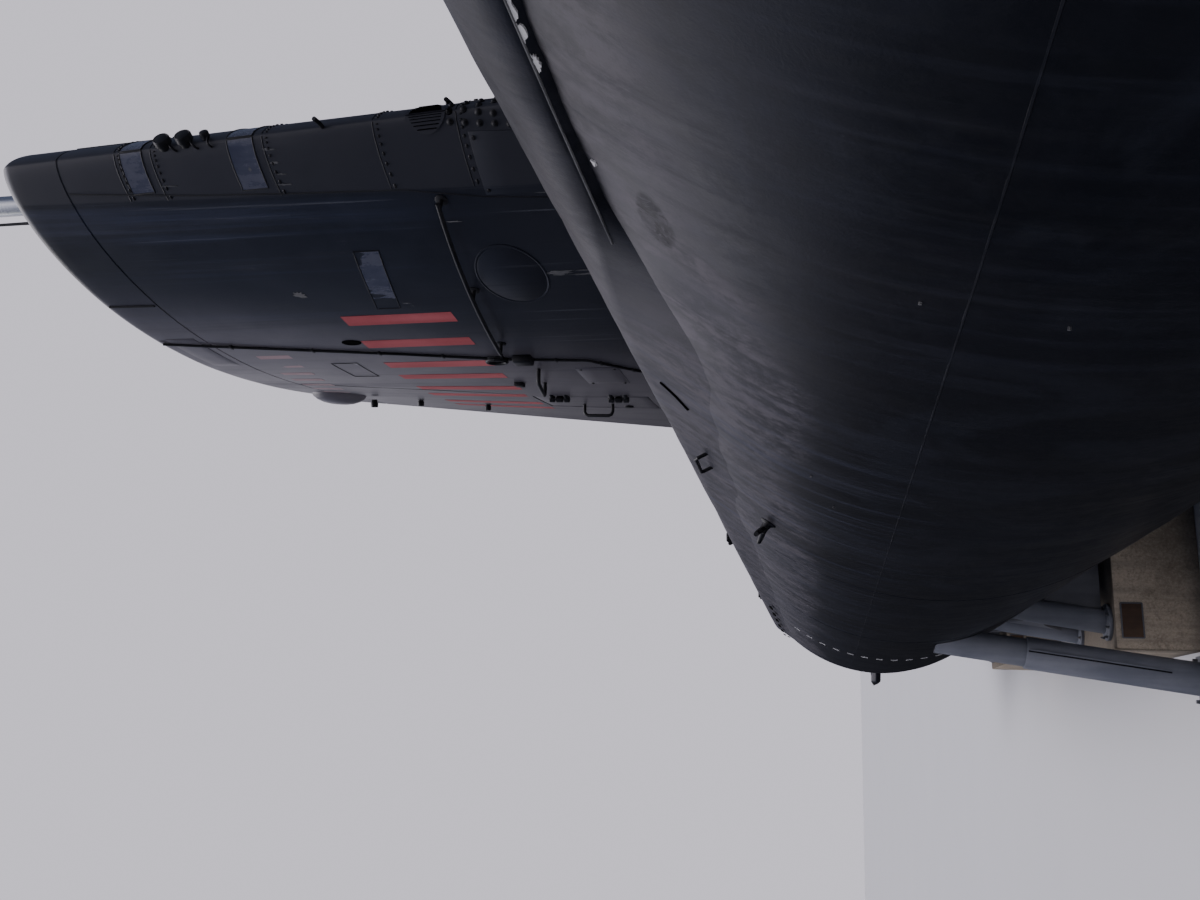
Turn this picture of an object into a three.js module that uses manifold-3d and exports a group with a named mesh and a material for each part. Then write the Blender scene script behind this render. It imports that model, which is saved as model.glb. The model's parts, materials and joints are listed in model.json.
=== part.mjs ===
// A diesel-electric submarine kept ashore as an exhibit, on concrete plinths with tube saddles and struts.
// It is a scale model at 1:2. Every size below is the real boat's, in metres, and m() gives the model's
// millimetres. +X is the bow, +Y is port and +Z is up. Heights are counted from the hull's own axis, and the
// whole group is lifted at the end to the height at which the boat stands over the ground.
import * as THREE from "three";
import { mergeVertices } from "three/addons/utils/BufferGeometryUtils.js";
import Module from "manifold-3d";

const wasm = await Module();
wasm.setup();

const MODEL_SCALE = 0.5;
const m = (metres) => metres * 1000 * MODEL_SCALE;

// Hull: a round section of one radius amidships, narrowing to a blunt bow and a slim tail.
const HALF_LENGTH = 24.8;
const HULL_RADIUS = 2.9;
const BOW_START = 11.5;
const STERN_START = -9.5;
const TAIL_END = -22.9;
const TAIL_RADIUS = 0.42;
const SHAFT_HEIGHT = -0.3;
const AXIS_OVER_GROUND = 4.15;

// Casing: the deck fairing that replaces the hull's crown. Its foot is at a vertex of the hull's section.
const HULL_SIDES = 42;
const FOOT_ANGLE = (5 / HULL_SIDES) * 2 * Math.PI;
const CASING_FORE_END = 21.2;
const CASING_AFT_END = -17.2;
const CASING_LIP = { width: 0.04, from: 5, to: 10 };
const DECK_SHARE = 0.91;

// Sail: the tall streamlined tower, with its trailing edge raked forward.
const SAIL_FOOT = { height: 2.3, front: 8.63, back: -0.34, halfThickness: 0.68 };
const SAIL_TOP = { height: 7.62, front: 8.24, back: 1.77, halfThickness: 0.68 };
const NOSE_POWER = 0.67;
const TAIL_POWER = 1.22;
const SAIL_EDGE_RADIUS = 0.12;
const CAP_JOINT = 7.04;

// Gaps, in the model's own millimetres.
const SEAT_GAP = 0.3;
const RUNNING_GAP = 0.6;
const SWING_GAP = 7;

const PAINT = {
  hull: { color: 0x25272e, roughness: 0.5, metalness: 0.1 },
  casing: { color: 0x2d2f35, roughness: 0.6, metalness: 0.1 },
  sail: { color: 0x3a3d42, roughness: 0.6, metalness: 0.1 },
  black: { color: 0x121315, roughness: 0.5, metalness: 0.2 },
  steelwork: { color: 0x949aa0, roughness: 0.5, metalness: 0.2 },
  mast: { color: 0xc4c7c9, roughness: 0.3, metalness: 0.6 },
  bronze: { color: 0xa07d40, roughness: 0.35, metalness: 0.9 },
  concrete: { color: 0x99938a, roughness: 0.9, metalness: 0.0 },
};

const group = new THREE.Group();
group.position.z = m(AXIS_OVER_GROUND);

function add(name, solid, paint) {
  const mesh = new THREE.Mesh(geometryOf(solid), new THREE.MeshStandardMaterial(PAINT[paint]));
  mesh.name = name;
  group.add(mesh);
}

// Solids: three.js shapes are joined and cut as manifold solids.
function solidOf(geometry) {
  const bare = geometry.clone();
  bare.deleteAttribute("normal");
  bare.deleteAttribute("uv");
  const merged = mergeVertices(bare, 1e-3);
  const numProp = 3;
  const vertProperties = merged.attributes.position.array;
  const triVerts = new Uint32Array(merged.index.array);
  return new wasm.Manifold(new wasm.Mesh({ numProp, vertProperties, triVerts }));
}

function geometryOf(solid) {
  const mesh = solid.getMesh();
  const geometry = new THREE.BufferGeometry();
  geometry.setAttribute("position", new THREE.BufferAttribute(new Float32Array(mesh.vertProperties), 3));
  geometry.setIndex(new THREE.BufferAttribute(new Uint32Array(mesh.triVerts), 1));
  geometry.computeVertexNormals();
  return geometry;
}

const joined = (...solids) => solids.reduce((whole, piece) => whole.add(piece));
const without = (solid, ...cutters) => cutters.reduce((rest, cutter) => rest.subtract(cutter), solid);
const mirrored = (solid) => solid.mirror([0, 1, 0]);

// A box between two corners, in metres.
function block(low, high) {
  const size = high.map((value, k) => m(value - low[k]));
  const box = new THREE.BoxGeometry(...size);
  box.translate(...low.map((value, k) => m(value) + size[k] / 2));
  return solidOf(box);
}

// A round bar between two points, in metres. Its radii are in metres too.
function bar(from, to, radius, sides = 20, endRadius = radius) {
  const start = new THREE.Vector3(...from.map(m));
  const way = new THREE.Vector3(...to.map(m)).sub(start);
  const shape = new THREE.CylinderGeometry(m(endRadius), m(radius), way.length(), sides);
  const up = new THREE.Vector3(0, 1, 0);
  shape.applyQuaternion(new THREE.Quaternion().setFromUnitVectors(up, way.clone().normalize()));
  shape.translate(...start.addScaledVector(way, 0.5).toArray());
  return solidOf(shape);
}

// A hole for a turning pin: its flats stay a running gap clear of the pin's corners at every angle.
function runningHole(from, to, radius, sides) {
  return bar(from, to, (radius + RUNNING_GAP / m(1)) / Math.cos(Math.PI / sides), sides);
}

// A bore for a sliding tube of as many sides: flat lies against flat, a running gap apart.
function slidingBore(from, to, radius, sides) {
  return bar(from, to, radius + RUNNING_GAP / m(1) / Math.cos(Math.PI / sides), sides);
}

// A rod of round section bent along points, in metres.
function bentBar(points, radius, steps) {
  const path = new THREE.CatmullRomCurve3(points.map((p) => new THREE.Vector3(...p.map(m))));
  const ring = new THREE.Shape().absarc(0, 0, m(radius), 0, 2 * Math.PI);
  return solidOf(new THREE.ExtrudeGeometry(ring, { extrudePath: path, steps, curveSegments: 4 }));
}

// A closed skin through cross sections. place(k, angle) gives the wall point of section k in millimetres.
function skin(sides, sections, place, upright = false) {
  const steps = sections - 1;
  const shape = new THREE.CylinderGeometry(1, 1, 1, sides, steps);
  if (upright) shape.rotateX(Math.PI / 2);
  else shape.rotateZ(-Math.PI / 2).rotateX(Math.PI / 2);
  const at = shape.attributes.position;
  const p = new THREE.Vector3();
  for (let i = 0; i < at.count; i++) {
    p.fromBufferAttribute(at, i);
    const [along, across, up] = upright ? [p.z, p.x, p.y] : [p.x, p.y, p.z];
    const k = Math.round((along + 0.5) * steps);
    if (Math.hypot(across, up) > 0.5) {
      p.set(...place(k, Math.atan2(up, across)));
    } else {
      p.set(...place(k, 0)).add(new THREE.Vector3(...place(k, Math.PI))).multiplyScalar(0.5);
    }
    at.setXYZ(i, p.x, p.y, p.z);
  }
  return solidOf(shape);
}

const share = (value, from, to) => Math.min(1, Math.max(0, (value - from) / (to - from)));
const mix = (a, b, t) => a + (b - a) * t;

// Sections between two stations, evenly spaced, or crowded towards the far one where the skin turns fastest.
const evenly = (from, to, steps) => Array.from({ length: steps + 1 }, (_, k) => mix(from, to, k / steps));
const crowded = (from, to, steps) =>
  Array.from({ length: steps + 1 }, (_, k) => mix(from, to, Math.sin(((k / steps) * Math.PI) / 2)));

// Hull lines: half beam, height over the section's middle, depth under it, and that middle's own height.
function hullLines(x) {
  if (x > STERN_START) {
    const t = share(x, BOW_START, HALF_LENGTH + 0.002);
    return {
      beam: HULL_RADIUS * (1 - t ** 2.1) ** 0.6,
      top: HULL_RADIUS * (1 - t ** 2.6) ** 0.55,
      bottom: HULL_RADIUS * (1 - t ** 2.2) ** 0.6,
      middle: 0,
    };
  }
  const t = share(-x, -STERN_START, -TAIL_END);
  return {
    beam: mix(HULL_RADIUS, TAIL_RADIUS, t ** 1.7),
    top: mix(HULL_RADIUS, TAIL_RADIUS, t ** 1.9),
    bottom: mix(HULL_RADIUS, TAIL_RADIUS, t ** 1.55),
    middle: mix(0, SHAFT_HEIGHT, t ** 1.5),
  };
}

const footHeight = (x) => m(hullLines(x).middle) + m(hullLines(x).top) * Math.sin(FOOT_ANGLE);

// A hull point at an angle from port over the top, in millimetres. A cut section stops at the casing's foot.
function hullPoint(x, angle, cut, grow = 0) {
  const line = hullLines(x);
  const height = m(angle > 0 ? line.top : line.bottom) + grow;
  const z = m(line.middle) + height * Math.sin(angle);
  return [m(x), (m(line.beam) + grow) * Math.cos(angle), cut ? Math.min(z, footHeight(x) + grow) : z];
}

const hull = (stations, cut, grow = 0) =>
  skin(HULL_SIDES, stations.length, (k, angle) => hullPoint(stations[k], angle, cut, grow));

// Casing point: a flat foot, and a deck that is a little flatter than the hull's own crown amidships.
function casingPoint(x, angle, grow = 0) {
  const line = hullLines(x);
  const towardsEnd = Math.max(share(x, BOW_START, CASING_FORE_END), share(-x, -STERN_START, -CASING_AFT_END));
  const foot = footHeight(x) + SEAT_GAP;
  const crest = m(line.middle) + m(line.top) * mix(DECK_SHARE, 1, towardsEnd);
  const lip = CASING_LIP.width * share(x, CASING_LIP.from, CASING_LIP.to) * (1 - towardsEnd);
  const width = m(line.beam * Math.cos(FOOT_ANGLE) + lip);
  const rise = Math.max(0, Math.sin(angle));
  return [m(x), (width + grow) * Math.cos(angle), foot + (crest - foot + grow) * rise];
}

const casing = (stations, grow = 0) =>
  skin(28, stations.length, (k, angle) => casingPoint(stations[k], angle, grow));

const deckAt = (x) => casingPoint(x, Math.PI / 2)[2] / m(1);

// Sail lines: the plan is a wing section, given as half thickness against the share of the chord from the nose.
const wing = (chordShare) => chordShare ** NOSE_POWER * (1 - chordShare) ** TAIL_POWER;
const WING_PEAK = wing(NOSE_POWER / (NOSE_POWER + TAIL_POWER));
const sectionWidth = (chordShare) => wing(chordShare) / WING_PEAK;

function sailLevel(height) {
  const t = (height - SAIL_FOOT.height) / (SAIL_TOP.height - SAIL_FOOT.height);
  return {
    front: mix(SAIL_FOOT.front, SAIL_TOP.front, t),
    back: mix(SAIL_FOOT.back, SAIL_TOP.back, t),
    halfThickness: mix(SAIL_FOOT.halfThickness, SAIL_TOP.halfThickness, t),
  };
}

// A sail point at an angle from the nose over port. grow is in millimetres, inset in metres.
function sailPoint(height, angle, grow = 0, inset = 0) {
  const level = sailLevel(height);
  const front = m(level.front - inset) + grow;
  const back = m(level.back + inset) - grow;
  const chordShare = (1 - Math.cos(angle)) / 2;
  const half = m(level.halfThickness - inset) * sectionWidth(chordShare) + grow * Math.abs(Math.sin(angle));
  return [mix(front, back, chordShare), Math.sign(Math.sin(angle)) * half, m(height)];
}

// The sail's wall is straight, and its top edge is rounded over the last sections.
function sailBody(grow = 0) {
  const edgeSteps = 3;
  const shoulder = SAIL_TOP.height - SAIL_EDGE_RADIUS;
  const sections = [{ height: SAIL_FOOT.height, inset: 0 }];
  for (let k = 0; k <= edgeSteps; k++) {
    const turn = (k / edgeSteps) * (Math.PI / 2);
    const height = shoulder + SAIL_EDGE_RADIUS * Math.sin(turn);
    sections.push({ height, inset: SAIL_EDGE_RADIUS * (1 - Math.cos(turn)) });
  }
  const place = (k, angle) => sailPoint(sections[k].height, angle, grow, sections[k].inset);
  return skin(40, sections.length, place, true);
}

// Half thickness of the sail at a place, in metres.
function sailHalf(x, height) {
  const level = sailLevel(height);
  return level.halfThickness * sectionWidth((level.front - x) / (level.front - level.back));
}

const SIDES = [
  { name: "port", sign: 1 },
  { name: "starboard", sign: -1 },
];
const onSide = (side, solid) => (side.sign > 0 ? solid : mirrored(solid));

// A hinge: a pin with two fixed knuckles, and a moving knuckle between them that turns on the pin.
const KNUCKLE = 0.036;
const PIN = 0.014;

function hinge(low, high) {
  const at = (t) => low.map((value, k) => mix(value, high[k], t));
  const pinHole = runningHole(at(-0.1), at(1.1), PIN, 12);
  const fixedArm = (t, to) => joined(bar(at(t - 0.13), at(t + 0.13), KNUCKLE, 12), bar(at(t), to, KNUCKLE * 0.7, 10));
  return {
    fixed: (toLow, toHigh) =>
      joined(bar(at(0.02), at(0.98), PIN, 12), fixedArm(0.15, toLow), fixedArm(0.85, toHigh)),
    moving: (to) => without(joined(bar(at(0.34), at(0.66), KNUCKLE, 12), bar(at(0.5), to, KNUCKLE * 0.7, 10)), pinHole),
    clear: joined(bar(at(-0.06), at(1.06), KNUCKLE + SWING_GAP / m(1), 12)),
  };
}

// Deck hatches: a raised coaming, a well inside it, and a lid hinged at its forward side.
const HATCHES = [
  { name: "hatch_forward", x: 13.4 },
  { name: "hatch_aft", x: -8.2 },
];
const HATCH_RADIUS = 0.44;
const HATCH_WELL_RADIUS = 0.32;
const HATCH_WELL_DEPTH = 0.7;
const COAMING_HEIGHT = 0.14;
const LID_THICKNESS = 0.07;
const LID_RADIUS = 0.42;
const LID_HINGE = 0.56;

const hatchSeat = (hatch) => deckAt(hatch.x - HATCH_RADIUS) + COAMING_HEIGHT;

function hatchWell(hatch) {
  const seat = hatchSeat(hatch);
  return bar([hatch.x, 0, seat - HATCH_WELL_DEPTH], [hatch.x, 0, seat + 0.2], HATCH_WELL_RADIUS, 24);
}

function hatchHinge(hatch) {
  const height = hatchSeat(hatch) + LID_THICKNESS / 2;
  return hinge([hatch.x + LID_HINGE, -0.16, height], [hatch.x + LID_HINGE, 0.16, height]);
}

function hatchCoaming(hatch) {
  const seat = hatchSeat(hatch);
  const foot = (y) => [hatch.x + LID_HINGE - 0.12, y, seat - COAMING_HEIGHT];
  return joined(
    bar([hatch.x, 0, seat - COAMING_HEIGHT - 0.12], [hatch.x, 0, seat], HATCH_RADIUS, 32),
    hatchHinge(hatch).fixed(foot(-0.11), foot(0.11)),
  );
}

function hatchLid(hatch) {
  const seat = hatchSeat(hatch) + SEAT_GAP / m(1);
  const top = seat + LID_THICKNESS;
  const lid = joined(
    bar([hatch.x, 0, seat], [hatch.x, 0, top], LID_RADIUS, 32),
    bar([hatch.x, 0, top - 0.01], [hatch.x, 0, top + 0.05], 0.34, 32, 0.22),
    hatchHinge(hatch).moving([hatch.x + 0.3, 0, seat + LID_THICKNESS / 2]),
  );
  return lid;
}

// Tail surfaces: fixed fins with a moving surface behind each. span runs from the shaft's line.
const FIN = { front: -17.9, back: -20.31, halfThickness: 0.13 };
const SURFACES = [
  { name: "rudder_upper", way: [0, 0, 1], span: 2.15 },
  { name: "rudder_lower", way: [0, 0, -1], span: 2.15 },
  { name: "stern_plane_port", way: [0, 1, 0], span: 2.7 },
  { name: "stern_plane_starboard", way: [0, -1, 0], span: 2.7 },
];
const SURFACE = { axis: -20.45, noseRadius: 0.12, back: -21.75, stockRadius: 0.06, rootGap: 0.03 };

// How far the hull reaches from the shaft's line at a station, along a surface's own way.
function hullReach(x, way) {
  const line = hullLines(x);
  if (way[2] === 0) return line.beam;
  return way[2] * (line.middle - SHAFT_HEIGHT) + (way[2] > 0 ? line.top : line.bottom);
}

// A flat plate with bevelled edges, from an outline of [x, out] points, laid along way.
function finPlate(outline, halfThickness, way) {
  const shape = new THREE.Shape(outline.map(([x, out]) => new THREE.Vector2(m(x), m(out))));
  const plate = new THREE.ExtrudeGeometry(shape, {
    depth: m(halfThickness),
    bevelThickness: m(halfThickness) / 2,
    bevelSize: m(0.05),
    bevelOffset: -m(0.05),
    bevelSegments: 1,
  });
  plate.translate(0, 0, -m(halfThickness) / 2);
  plate.rotateX(Math.atan2(way[2], way[1]));
  plate.translate(0, 0, m(SHAFT_HEIGHT));
  return solidOf(plate);
}

const alongWay = (surface, x, out) => [x, surface.way[1] * out, SHAFT_HEIGHT + surface.way[2] * out];

function fixedFin(surface) {
  const outline = [
    [FIN.front, 0.4],
    [FIN.back, 0.4],
    [FIN.back, surface.span],
    [FIN.back + 1.0, surface.span],
  ];
  return finPlate(outline, FIN.halfThickness, surface.way);
}

// The stock is a pin on the surface's hinge line, and it turns in a hole in the tail.
function movingSurface(surface) {
  const { axis, back, noseRadius, stockRadius, rootGap } = SURFACE;
  const root = hullReach(axis + noseRadius, surface.way) + rootGap;
  const rootBack = hullReach(back, surface.way) + 2 * rootGap;
  const outline = [
    [axis, root],
    [back, rootBack],
    [back, surface.span - 0.15],
    [axis, surface.span],
  ];
  const plate = finPlate(outline, FIN.halfThickness * 0.8, surface.way);
  const nose = bar(alongWay(surface, axis, root), alongWay(surface, axis, surface.span), noseRadius, 16);
  const stock = bar(alongWay(surface, axis, 0.45), alongWay(surface, axis, root + 0.1), stockRadius, 24);
  return joined(plate, nose, stock);
}

const stockHole = (surface) =>
  runningHole(alongWay(surface, SURFACE.axis, 0.44), alongWay(surface, SURFACE.axis, 2), SURFACE.stockRadius, 24);

// Propeller: five blades on a boss, with a cone behind it and a shaft into the tail.
const PROPELLER = { front: -22.915, back: -23.85, bossRadius: 0.38, bladeRadius: 1.32, blades: 5, pitch: 56 };
const SHAFT_RADIUS = 0.16;
const SHAFT_FRONT = -22.1;
const onShaft = (x) => [x, 0, SHAFT_HEIGHT];

function propellerBlade(turn) {
  const outline = new THREE.Shape();
  outline.moveTo(-m(0.18), m(0.2));
  outline.bezierCurveTo(-m(0.55), m(0.7), -m(0.62), m(1.15), -m(0.05), m(PROPELLER.bladeRadius));
  outline.bezierCurveTo(m(0.5), m(1.3), m(0.45), m(0.7), m(0.18), m(0.2));
  const blade = new THREE.ExtrudeGeometry(outline, { depth: m(0.06), bevelEnabled: false, curveSegments: 8 });
  blade.translate(0, 0, -m(0.03));
  // The chord is turned about the blade's own radius, and the blade is then swung round the shaft.
  blade.rotateY(THREE.MathUtils.degToRad(PROPELLER.pitch));
  blade.rotateX(Math.PI / 2 + turn);
  blade.translate(m((PROPELLER.front + PROPELLER.back) / 2), 0, m(SHAFT_HEIGHT));
  return solidOf(blade);
}

function propeller() {
  const turns = Array.from({ length: PROPELLER.blades }, (_, k) => (k * 2 * Math.PI) / PROPELLER.blades);
  return joined(
    bar(onShaft(PROPELLER.front), onShaft(PROPELLER.back), PROPELLER.bossRadius, 24, 0.32),
    bar(onShaft(PROPELLER.back + 0.01), onShaft(-HALF_LENGTH), 0.32, 24, 0.06),
    bar(onShaft(PROPELLER.front - 0.1), onShaft(SHAFT_FRONT), SHAFT_RADIUS, 48),
    ...turns.map(propellerBlade),
  );
}

const shaftHole = runningHole(onShaft(SHAFT_FRONT + 0.01), onShaft(TAIL_END - 0.5), SHAFT_RADIUS, 48);

// Bow planes: flat wings that tilt on a stock through the hull's side.
const BOW_PLANE = { axis: 18.2, front: 18.75, back: 17.3, tip: 3.25, height: 0.55, halfThickness: 0.1, stockRadius: 0.08 };
const BOW_PLANE_ROOT = hullLines(BOW_PLANE.back).beam + 0.03;

function bowPlane(side) {
  const shape = new THREE.Shape();
  shape.moveTo(m(BOW_PLANE.front), m(BOW_PLANE_ROOT));
  shape.lineTo(m(BOW_PLANE.back), m(BOW_PLANE_ROOT));
  shape.lineTo(m(BOW_PLANE.back), m(BOW_PLANE.tip));
  shape.lineTo(m(BOW_PLANE.front - 0.35), m(BOW_PLANE.tip));
  const plate = new THREE.ExtrudeGeometry(shape, {
    depth: m(BOW_PLANE.halfThickness),
    bevelThickness: m(BOW_PLANE.halfThickness) / 2,
    bevelSize: m(0.06),
    bevelOffset: -m(0.06),
    bevelSegments: 1,
  });
  plate.translate(0, 0, m(BOW_PLANE.height - BOW_PLANE.halfThickness / 2));
  const along = (out) => [BOW_PLANE.axis, out, BOW_PLANE.height];
  const stock = bar(along(1.4), along(BOW_PLANE_ROOT + 0.3), BOW_PLANE.stockRadius, 32);
  return onSide(side, joined(solidOf(plate), stock));
}

function planeHole(side) {
  const along = (out) => [BOW_PLANE.axis, out * side.sign, BOW_PLANE.height];
  return runningHole(along(1.39), along(3.2), BOW_PLANE.stockRadius, 32);
}

// Masts in the sail's top, from the nose aft. low is the foot of the tube, and top is the head's top at rest.
// down is how far a mast that stands raised at rest can be lowered.
const MASTS = [
  { name: "periscope_attack", x: 7.62, radius: 0.0875, low: 3.0, top: 9.15, headRadius: 0.06, headHeight: 0.5, down: 1.2 },
  { name: "periscope_search", x: 5.6, radius: 0.11, low: 3.0, top: 8.15, headRadius: 0.14, headHeight: 0.34 },
  { name: "radar_mast", x: 4.75, radius: 0.1, low: 3.0, top: 7.84, headRadius: 0.13, headHeight: 0.18 },
  { name: "snorkel_mast", x: 3.85, radius: 0.15, low: 3.0, top: 8.2, headRadius: 0.27, headHeight: 0.5 },
  { name: "antenna_mast", x: 2.95, radius: 0.05, low: 3.0, top: 8.1, headRadius: 0.07, headHeight: 0.3 },
];

function mast({ name, x, radius, low, top, headRadius, headHeight }) {
  const tube = bar([x, 0, low], [x, 0, top - headHeight + 0.02], radius, 16);
  const head = bar([x, 0, top - headHeight], [x, 0, top], headRadius, 16, headRadius * 0.85);
  if (name !== "radar_mast") return joined(tube, head);
  const scanner = block([x - 0.12, -0.42, top - 0.06], [x + 0.12, 0.42, top + 0.12]);
  return joined(tube, head, scanner);
}

const mastBore = ({ x, radius, low, down = 0 }) => slidingBore([x, 0, low - down - 0.02], [x, 0, 9], radius, 16);

// Bridge: an open cockpit in the sail's top, behind the attack periscope.
const BRIDGE = { front: 7.1, back: 6.1, halfWidth: 0.45, floor: 5.8 };
const bridgeWell = block(
  [BRIDGE.back, -BRIDGE.halfWidth, BRIDGE.floor],
  [BRIDGE.front, BRIDGE.halfWidth, SAIL_TOP.height + 1],
);

// Side door of the sail, to starboard, hinged along its forward edge.
const DOOR = { front: 3.25, back: 2.35, low: 3.1, high: 4.45, thickness: 0.07 };
const doorSkin = (height) => -sailHalf(DOOR.front, height);
const doorAxisEnd = (height) => [DOOR.front + 0.03, doorSkin(height) - 0.045, height];
const doorAxis = [doorAxisEnd(DOOR.low), doorAxisEnd(DOOR.high)];
const doorHingeAt = (height) =>
  doorAxis[0].map((value, k) => mix(value, doorAxis[1][k], share(height, DOOR.low, DOOR.high)));
const doorHinges = [DOOR.low + 0.2, DOOR.high - 0.45].map((height) => {
  const end = height + 0.25;
  const sailFoot = (h) => [DOOR.front + 0.13, doorSkin(h) + 0.03, h];
  const parts = hinge(doorHingeAt(height), doorHingeAt(end));
  return {
    fixed: parts.fixed(sailFoot(height + 0.0375), sailFoot(end - 0.0375)),
    moving: parts.moving([DOOR.front - 0.1, doorSkin(height + 0.125) + 0.03, height + 0.125]),
  };
});

function doorBlock(gap) {
  const g = gap / m(1);
  return block([DOOR.back - g, -2, DOOR.low - g], [DOOR.front + g, 0, DOOR.high + g]);
}

// Handrails along the sail's sides: a rail held off the skin by three feet.
const RAIL = {
  front: { x: 7.97, height: 3.92 },
  back: { x: 5.57, height: 4.13 },
  offset: 0.1,
  radius: 0.018,
};

function handrail(side) {
  const out = (t, offset) => {
    const x = mix(RAIL.front.x, RAIL.back.x, t);
    const height = mix(RAIL.front.height, RAIL.back.height, t);
    return [x, sailHalf(x, height) + offset, height];
  };
  const rail = bentBar(evenly(0, 1, 6).map((t) => out(t, RAIL.offset)), RAIL.radius, 12);
  const feet = [0.02, 0.5, 0.98].map((t) => bar(out(t, -0.03), out(t, RAIL.offset), RAIL.radius, 8));
  return without(onSide(side, joined(rail, ...feet)), sailBody(SEAT_GAP));
}

// Mooring cleats on the hull's shoulders: a foot with two horns.
const CLEAT = { x: 5.55, out: 2.4, height: 1.6 };

function cleat(side) {
  const out = (x, reach) => [CLEAT.x + x, CLEAT.out + reach * 0.83, CLEAT.height + reach * 0.56];
  const shape = joined(
    bar(out(0, -0.1), out(0, 0.11), 0.05, 12),
    bar(out(0, 0.09), out(0.2, 0.17), 0.033, 10, 0.026),
    bar(out(0, 0.09), out(-0.2, 0.17), 0.033, 10, 0.026),
  );
  return without(onSide(side, shape), hullSeat);
}

// Supports. Each plinth stands across the keel with two columns to a side, which lean in to the hull. A web ties
// them together and another stiffens each one inboard. The two forward stations have a strut to each flank.
const SUPPORTS = [
  { name: "middle", x: -3.25, halfWidth: 2.87, strutX: -2.0 },
  { name: "forward", x: 9.4, halfWidth: 2.87, strutX: 10.65 },
  { name: "aft", x: -13.2, halfWidth: 2.5 },
];
const PLINTH = { halfLength: 1.3, height: 1.2 };
const COLUMN = { radius: 0.2, out: 2.45, apart: 1.9, lean: 0.15, length: 2.2, flangeRadius: 0.3, flange: 0.05 };
const WEB = { half: 0.03, foot: 0.1, innerOut: 1.25 };
const STRUT = { radius: 0.205, sleeveRadius: 0.235, topOut: 2.77, topHeight: 3.7, footOut: 3.27, sleeveTop: 2.45, plate: 0.35 };
const GROUND = -AXIS_OVER_GROUND;

function plinth({ x, halfWidth }) {
  const low = [x - PLINTH.halfLength, -halfWidth, GROUND];
  const high = [x + PLINTH.halfLength, halfWidth, GROUND + PLINTH.height];
  return without(block(low, high), hullSeat);
}

function saddle({ x, halfWidth }, side) {
  const seat = GROUND + PLINTH.height + SEAT_GAP / m(1);
  const out = halfWidth - 0.42;
  const top = seat + COLUMN.length;
  const column = (at) =>
    joined(
      bar([at, out + 0.1 * COLUMN.lean, seat - 0.1], [at, out - COLUMN.lean * COLUMN.length, top], COLUMN.radius, 16),
      bar([at, out, seat], [at, out, seat + COLUMN.flange], COLUMN.flangeRadius, 16),
      block([at - WEB.half, WEB.innerOut, seat + WEB.foot], [at + WEB.half, out, top]),
    );
  const tie = block([x - COLUMN.apart / 2, -WEB.half, 0.02], [x + COLUMN.apart / 2, WEB.half, COLUMN.length]);
  const leanDegrees = THREE.MathUtils.radToDeg(Math.atan(COLUMN.lean));
  const leaning = tie.rotate([leanDegrees, 0, 0]).translate([0, m(out), m(seat)]);
  const ends = [x - COLUMN.apart / 2, x + COLUMN.apart / 2].map(column);
  return without(onSide(side, joined(leaning, ...ends)), hullSeat, above, below);
}

function strut({ strutX }, side) {
  const foot = [strutX, STRUT.footOut, GROUND + 0.03];
  const top = [strutX, STRUT.topOut, GROUND + STRUT.topHeight];
  const at = (height) => foot.map((value, k) => mix(value, top[k], (height - 0.03) / (STRUT.topHeight - 0.03)));
  const whole = joined(
    bar(at(0.2), at(STRUT.topHeight), STRUT.radius, 16),
    bar(at(0.05), at(STRUT.sleeveTop), STRUT.sleeveRadius, 16),
    block(
      [strutX - STRUT.plate, STRUT.footOut - STRUT.plate, GROUND],
      [strutX + STRUT.plate, STRUT.footOut + STRUT.plate, GROUND + 0.06],
    ),
  );
  return without(onSide(side, whole), hullSeat);
}

// Stations of the hull's five sections, from the tail to the bow. Neighbours stop a seat gap apart.
const half = SEAT_GAP / 2 / m(1);
const HULL_SECTIONS = [
  { name: "hull_tail", stations: evenly(TAIL_END, CASING_AFT_END - half, 9), cut: false },
  { name: "hull_after", stations: evenly(CASING_AFT_END + half, STERN_START - half, 6), cut: true },
  { name: "hull_midbody", stations: [STERN_START + half, 4 - half], cut: true },
  { name: "hull_forward", stations: [4 + half, ...evenly(BOW_START, CASING_FORE_END - half, 8)], cut: true },
  { name: "hull_bow", stations: crowded(CASING_FORE_END + half, HALF_LENGTH, 9), cut: false },
];

// The whole hull, pushed out by the seat gap, cuts whatever rests against it.
const hullSeat = hull(HULL_SECTIONS.flatMap((section) => section.stations), false, SEAT_GAP);
const casingSeat = casing([STERN_START, CASING_LIP.from, CASING_LIP.to, BOW_START], SEAT_GAP);
const above = block([-HALF_LENGTH, -4, -0.2], [HALF_LENGTH, 4, 9]);
const below = block([-HALF_LENGTH, -4, GROUND - 1], [HALF_LENGTH, 4, GROUND + PLINTH.height + SEAT_GAP / m(1)]);

const hullCuts = {
  hull_tail: [shaftHole, ...SURFACES.map(stockHole)],
  hull_after: [],
  hull_midbody: [hatchWell(HATCHES[1])],
  hull_forward: [hatchWell(HATCHES[0]), mastBore(MASTS[0]), ...SIDES.map(planeHole)],
  hull_bow: [],
};
for (const { name, stations, cut } of HULL_SECTIONS) {
  const body = hull(stations, cut);
  const whole = name === "hull_tail" ? joined(body, ...SURFACES.map(fixedFin)) : body;
  add(name, without(whole, ...hullCuts[name]), "hull");
}

// Sonar dome on the bow's crown.
const dome = new THREE.SphereGeometry(1, 20, 12);
dome.rotateX(Math.PI / 2);
dome.scale(m(1.25), m(0.55), m(0.62));
dome.translate(m(22.35), 0, m(hullLines(22.35).top - 0.12));
add("sonar_dome", without(solidOf(dome), hullSeat), "black");

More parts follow.
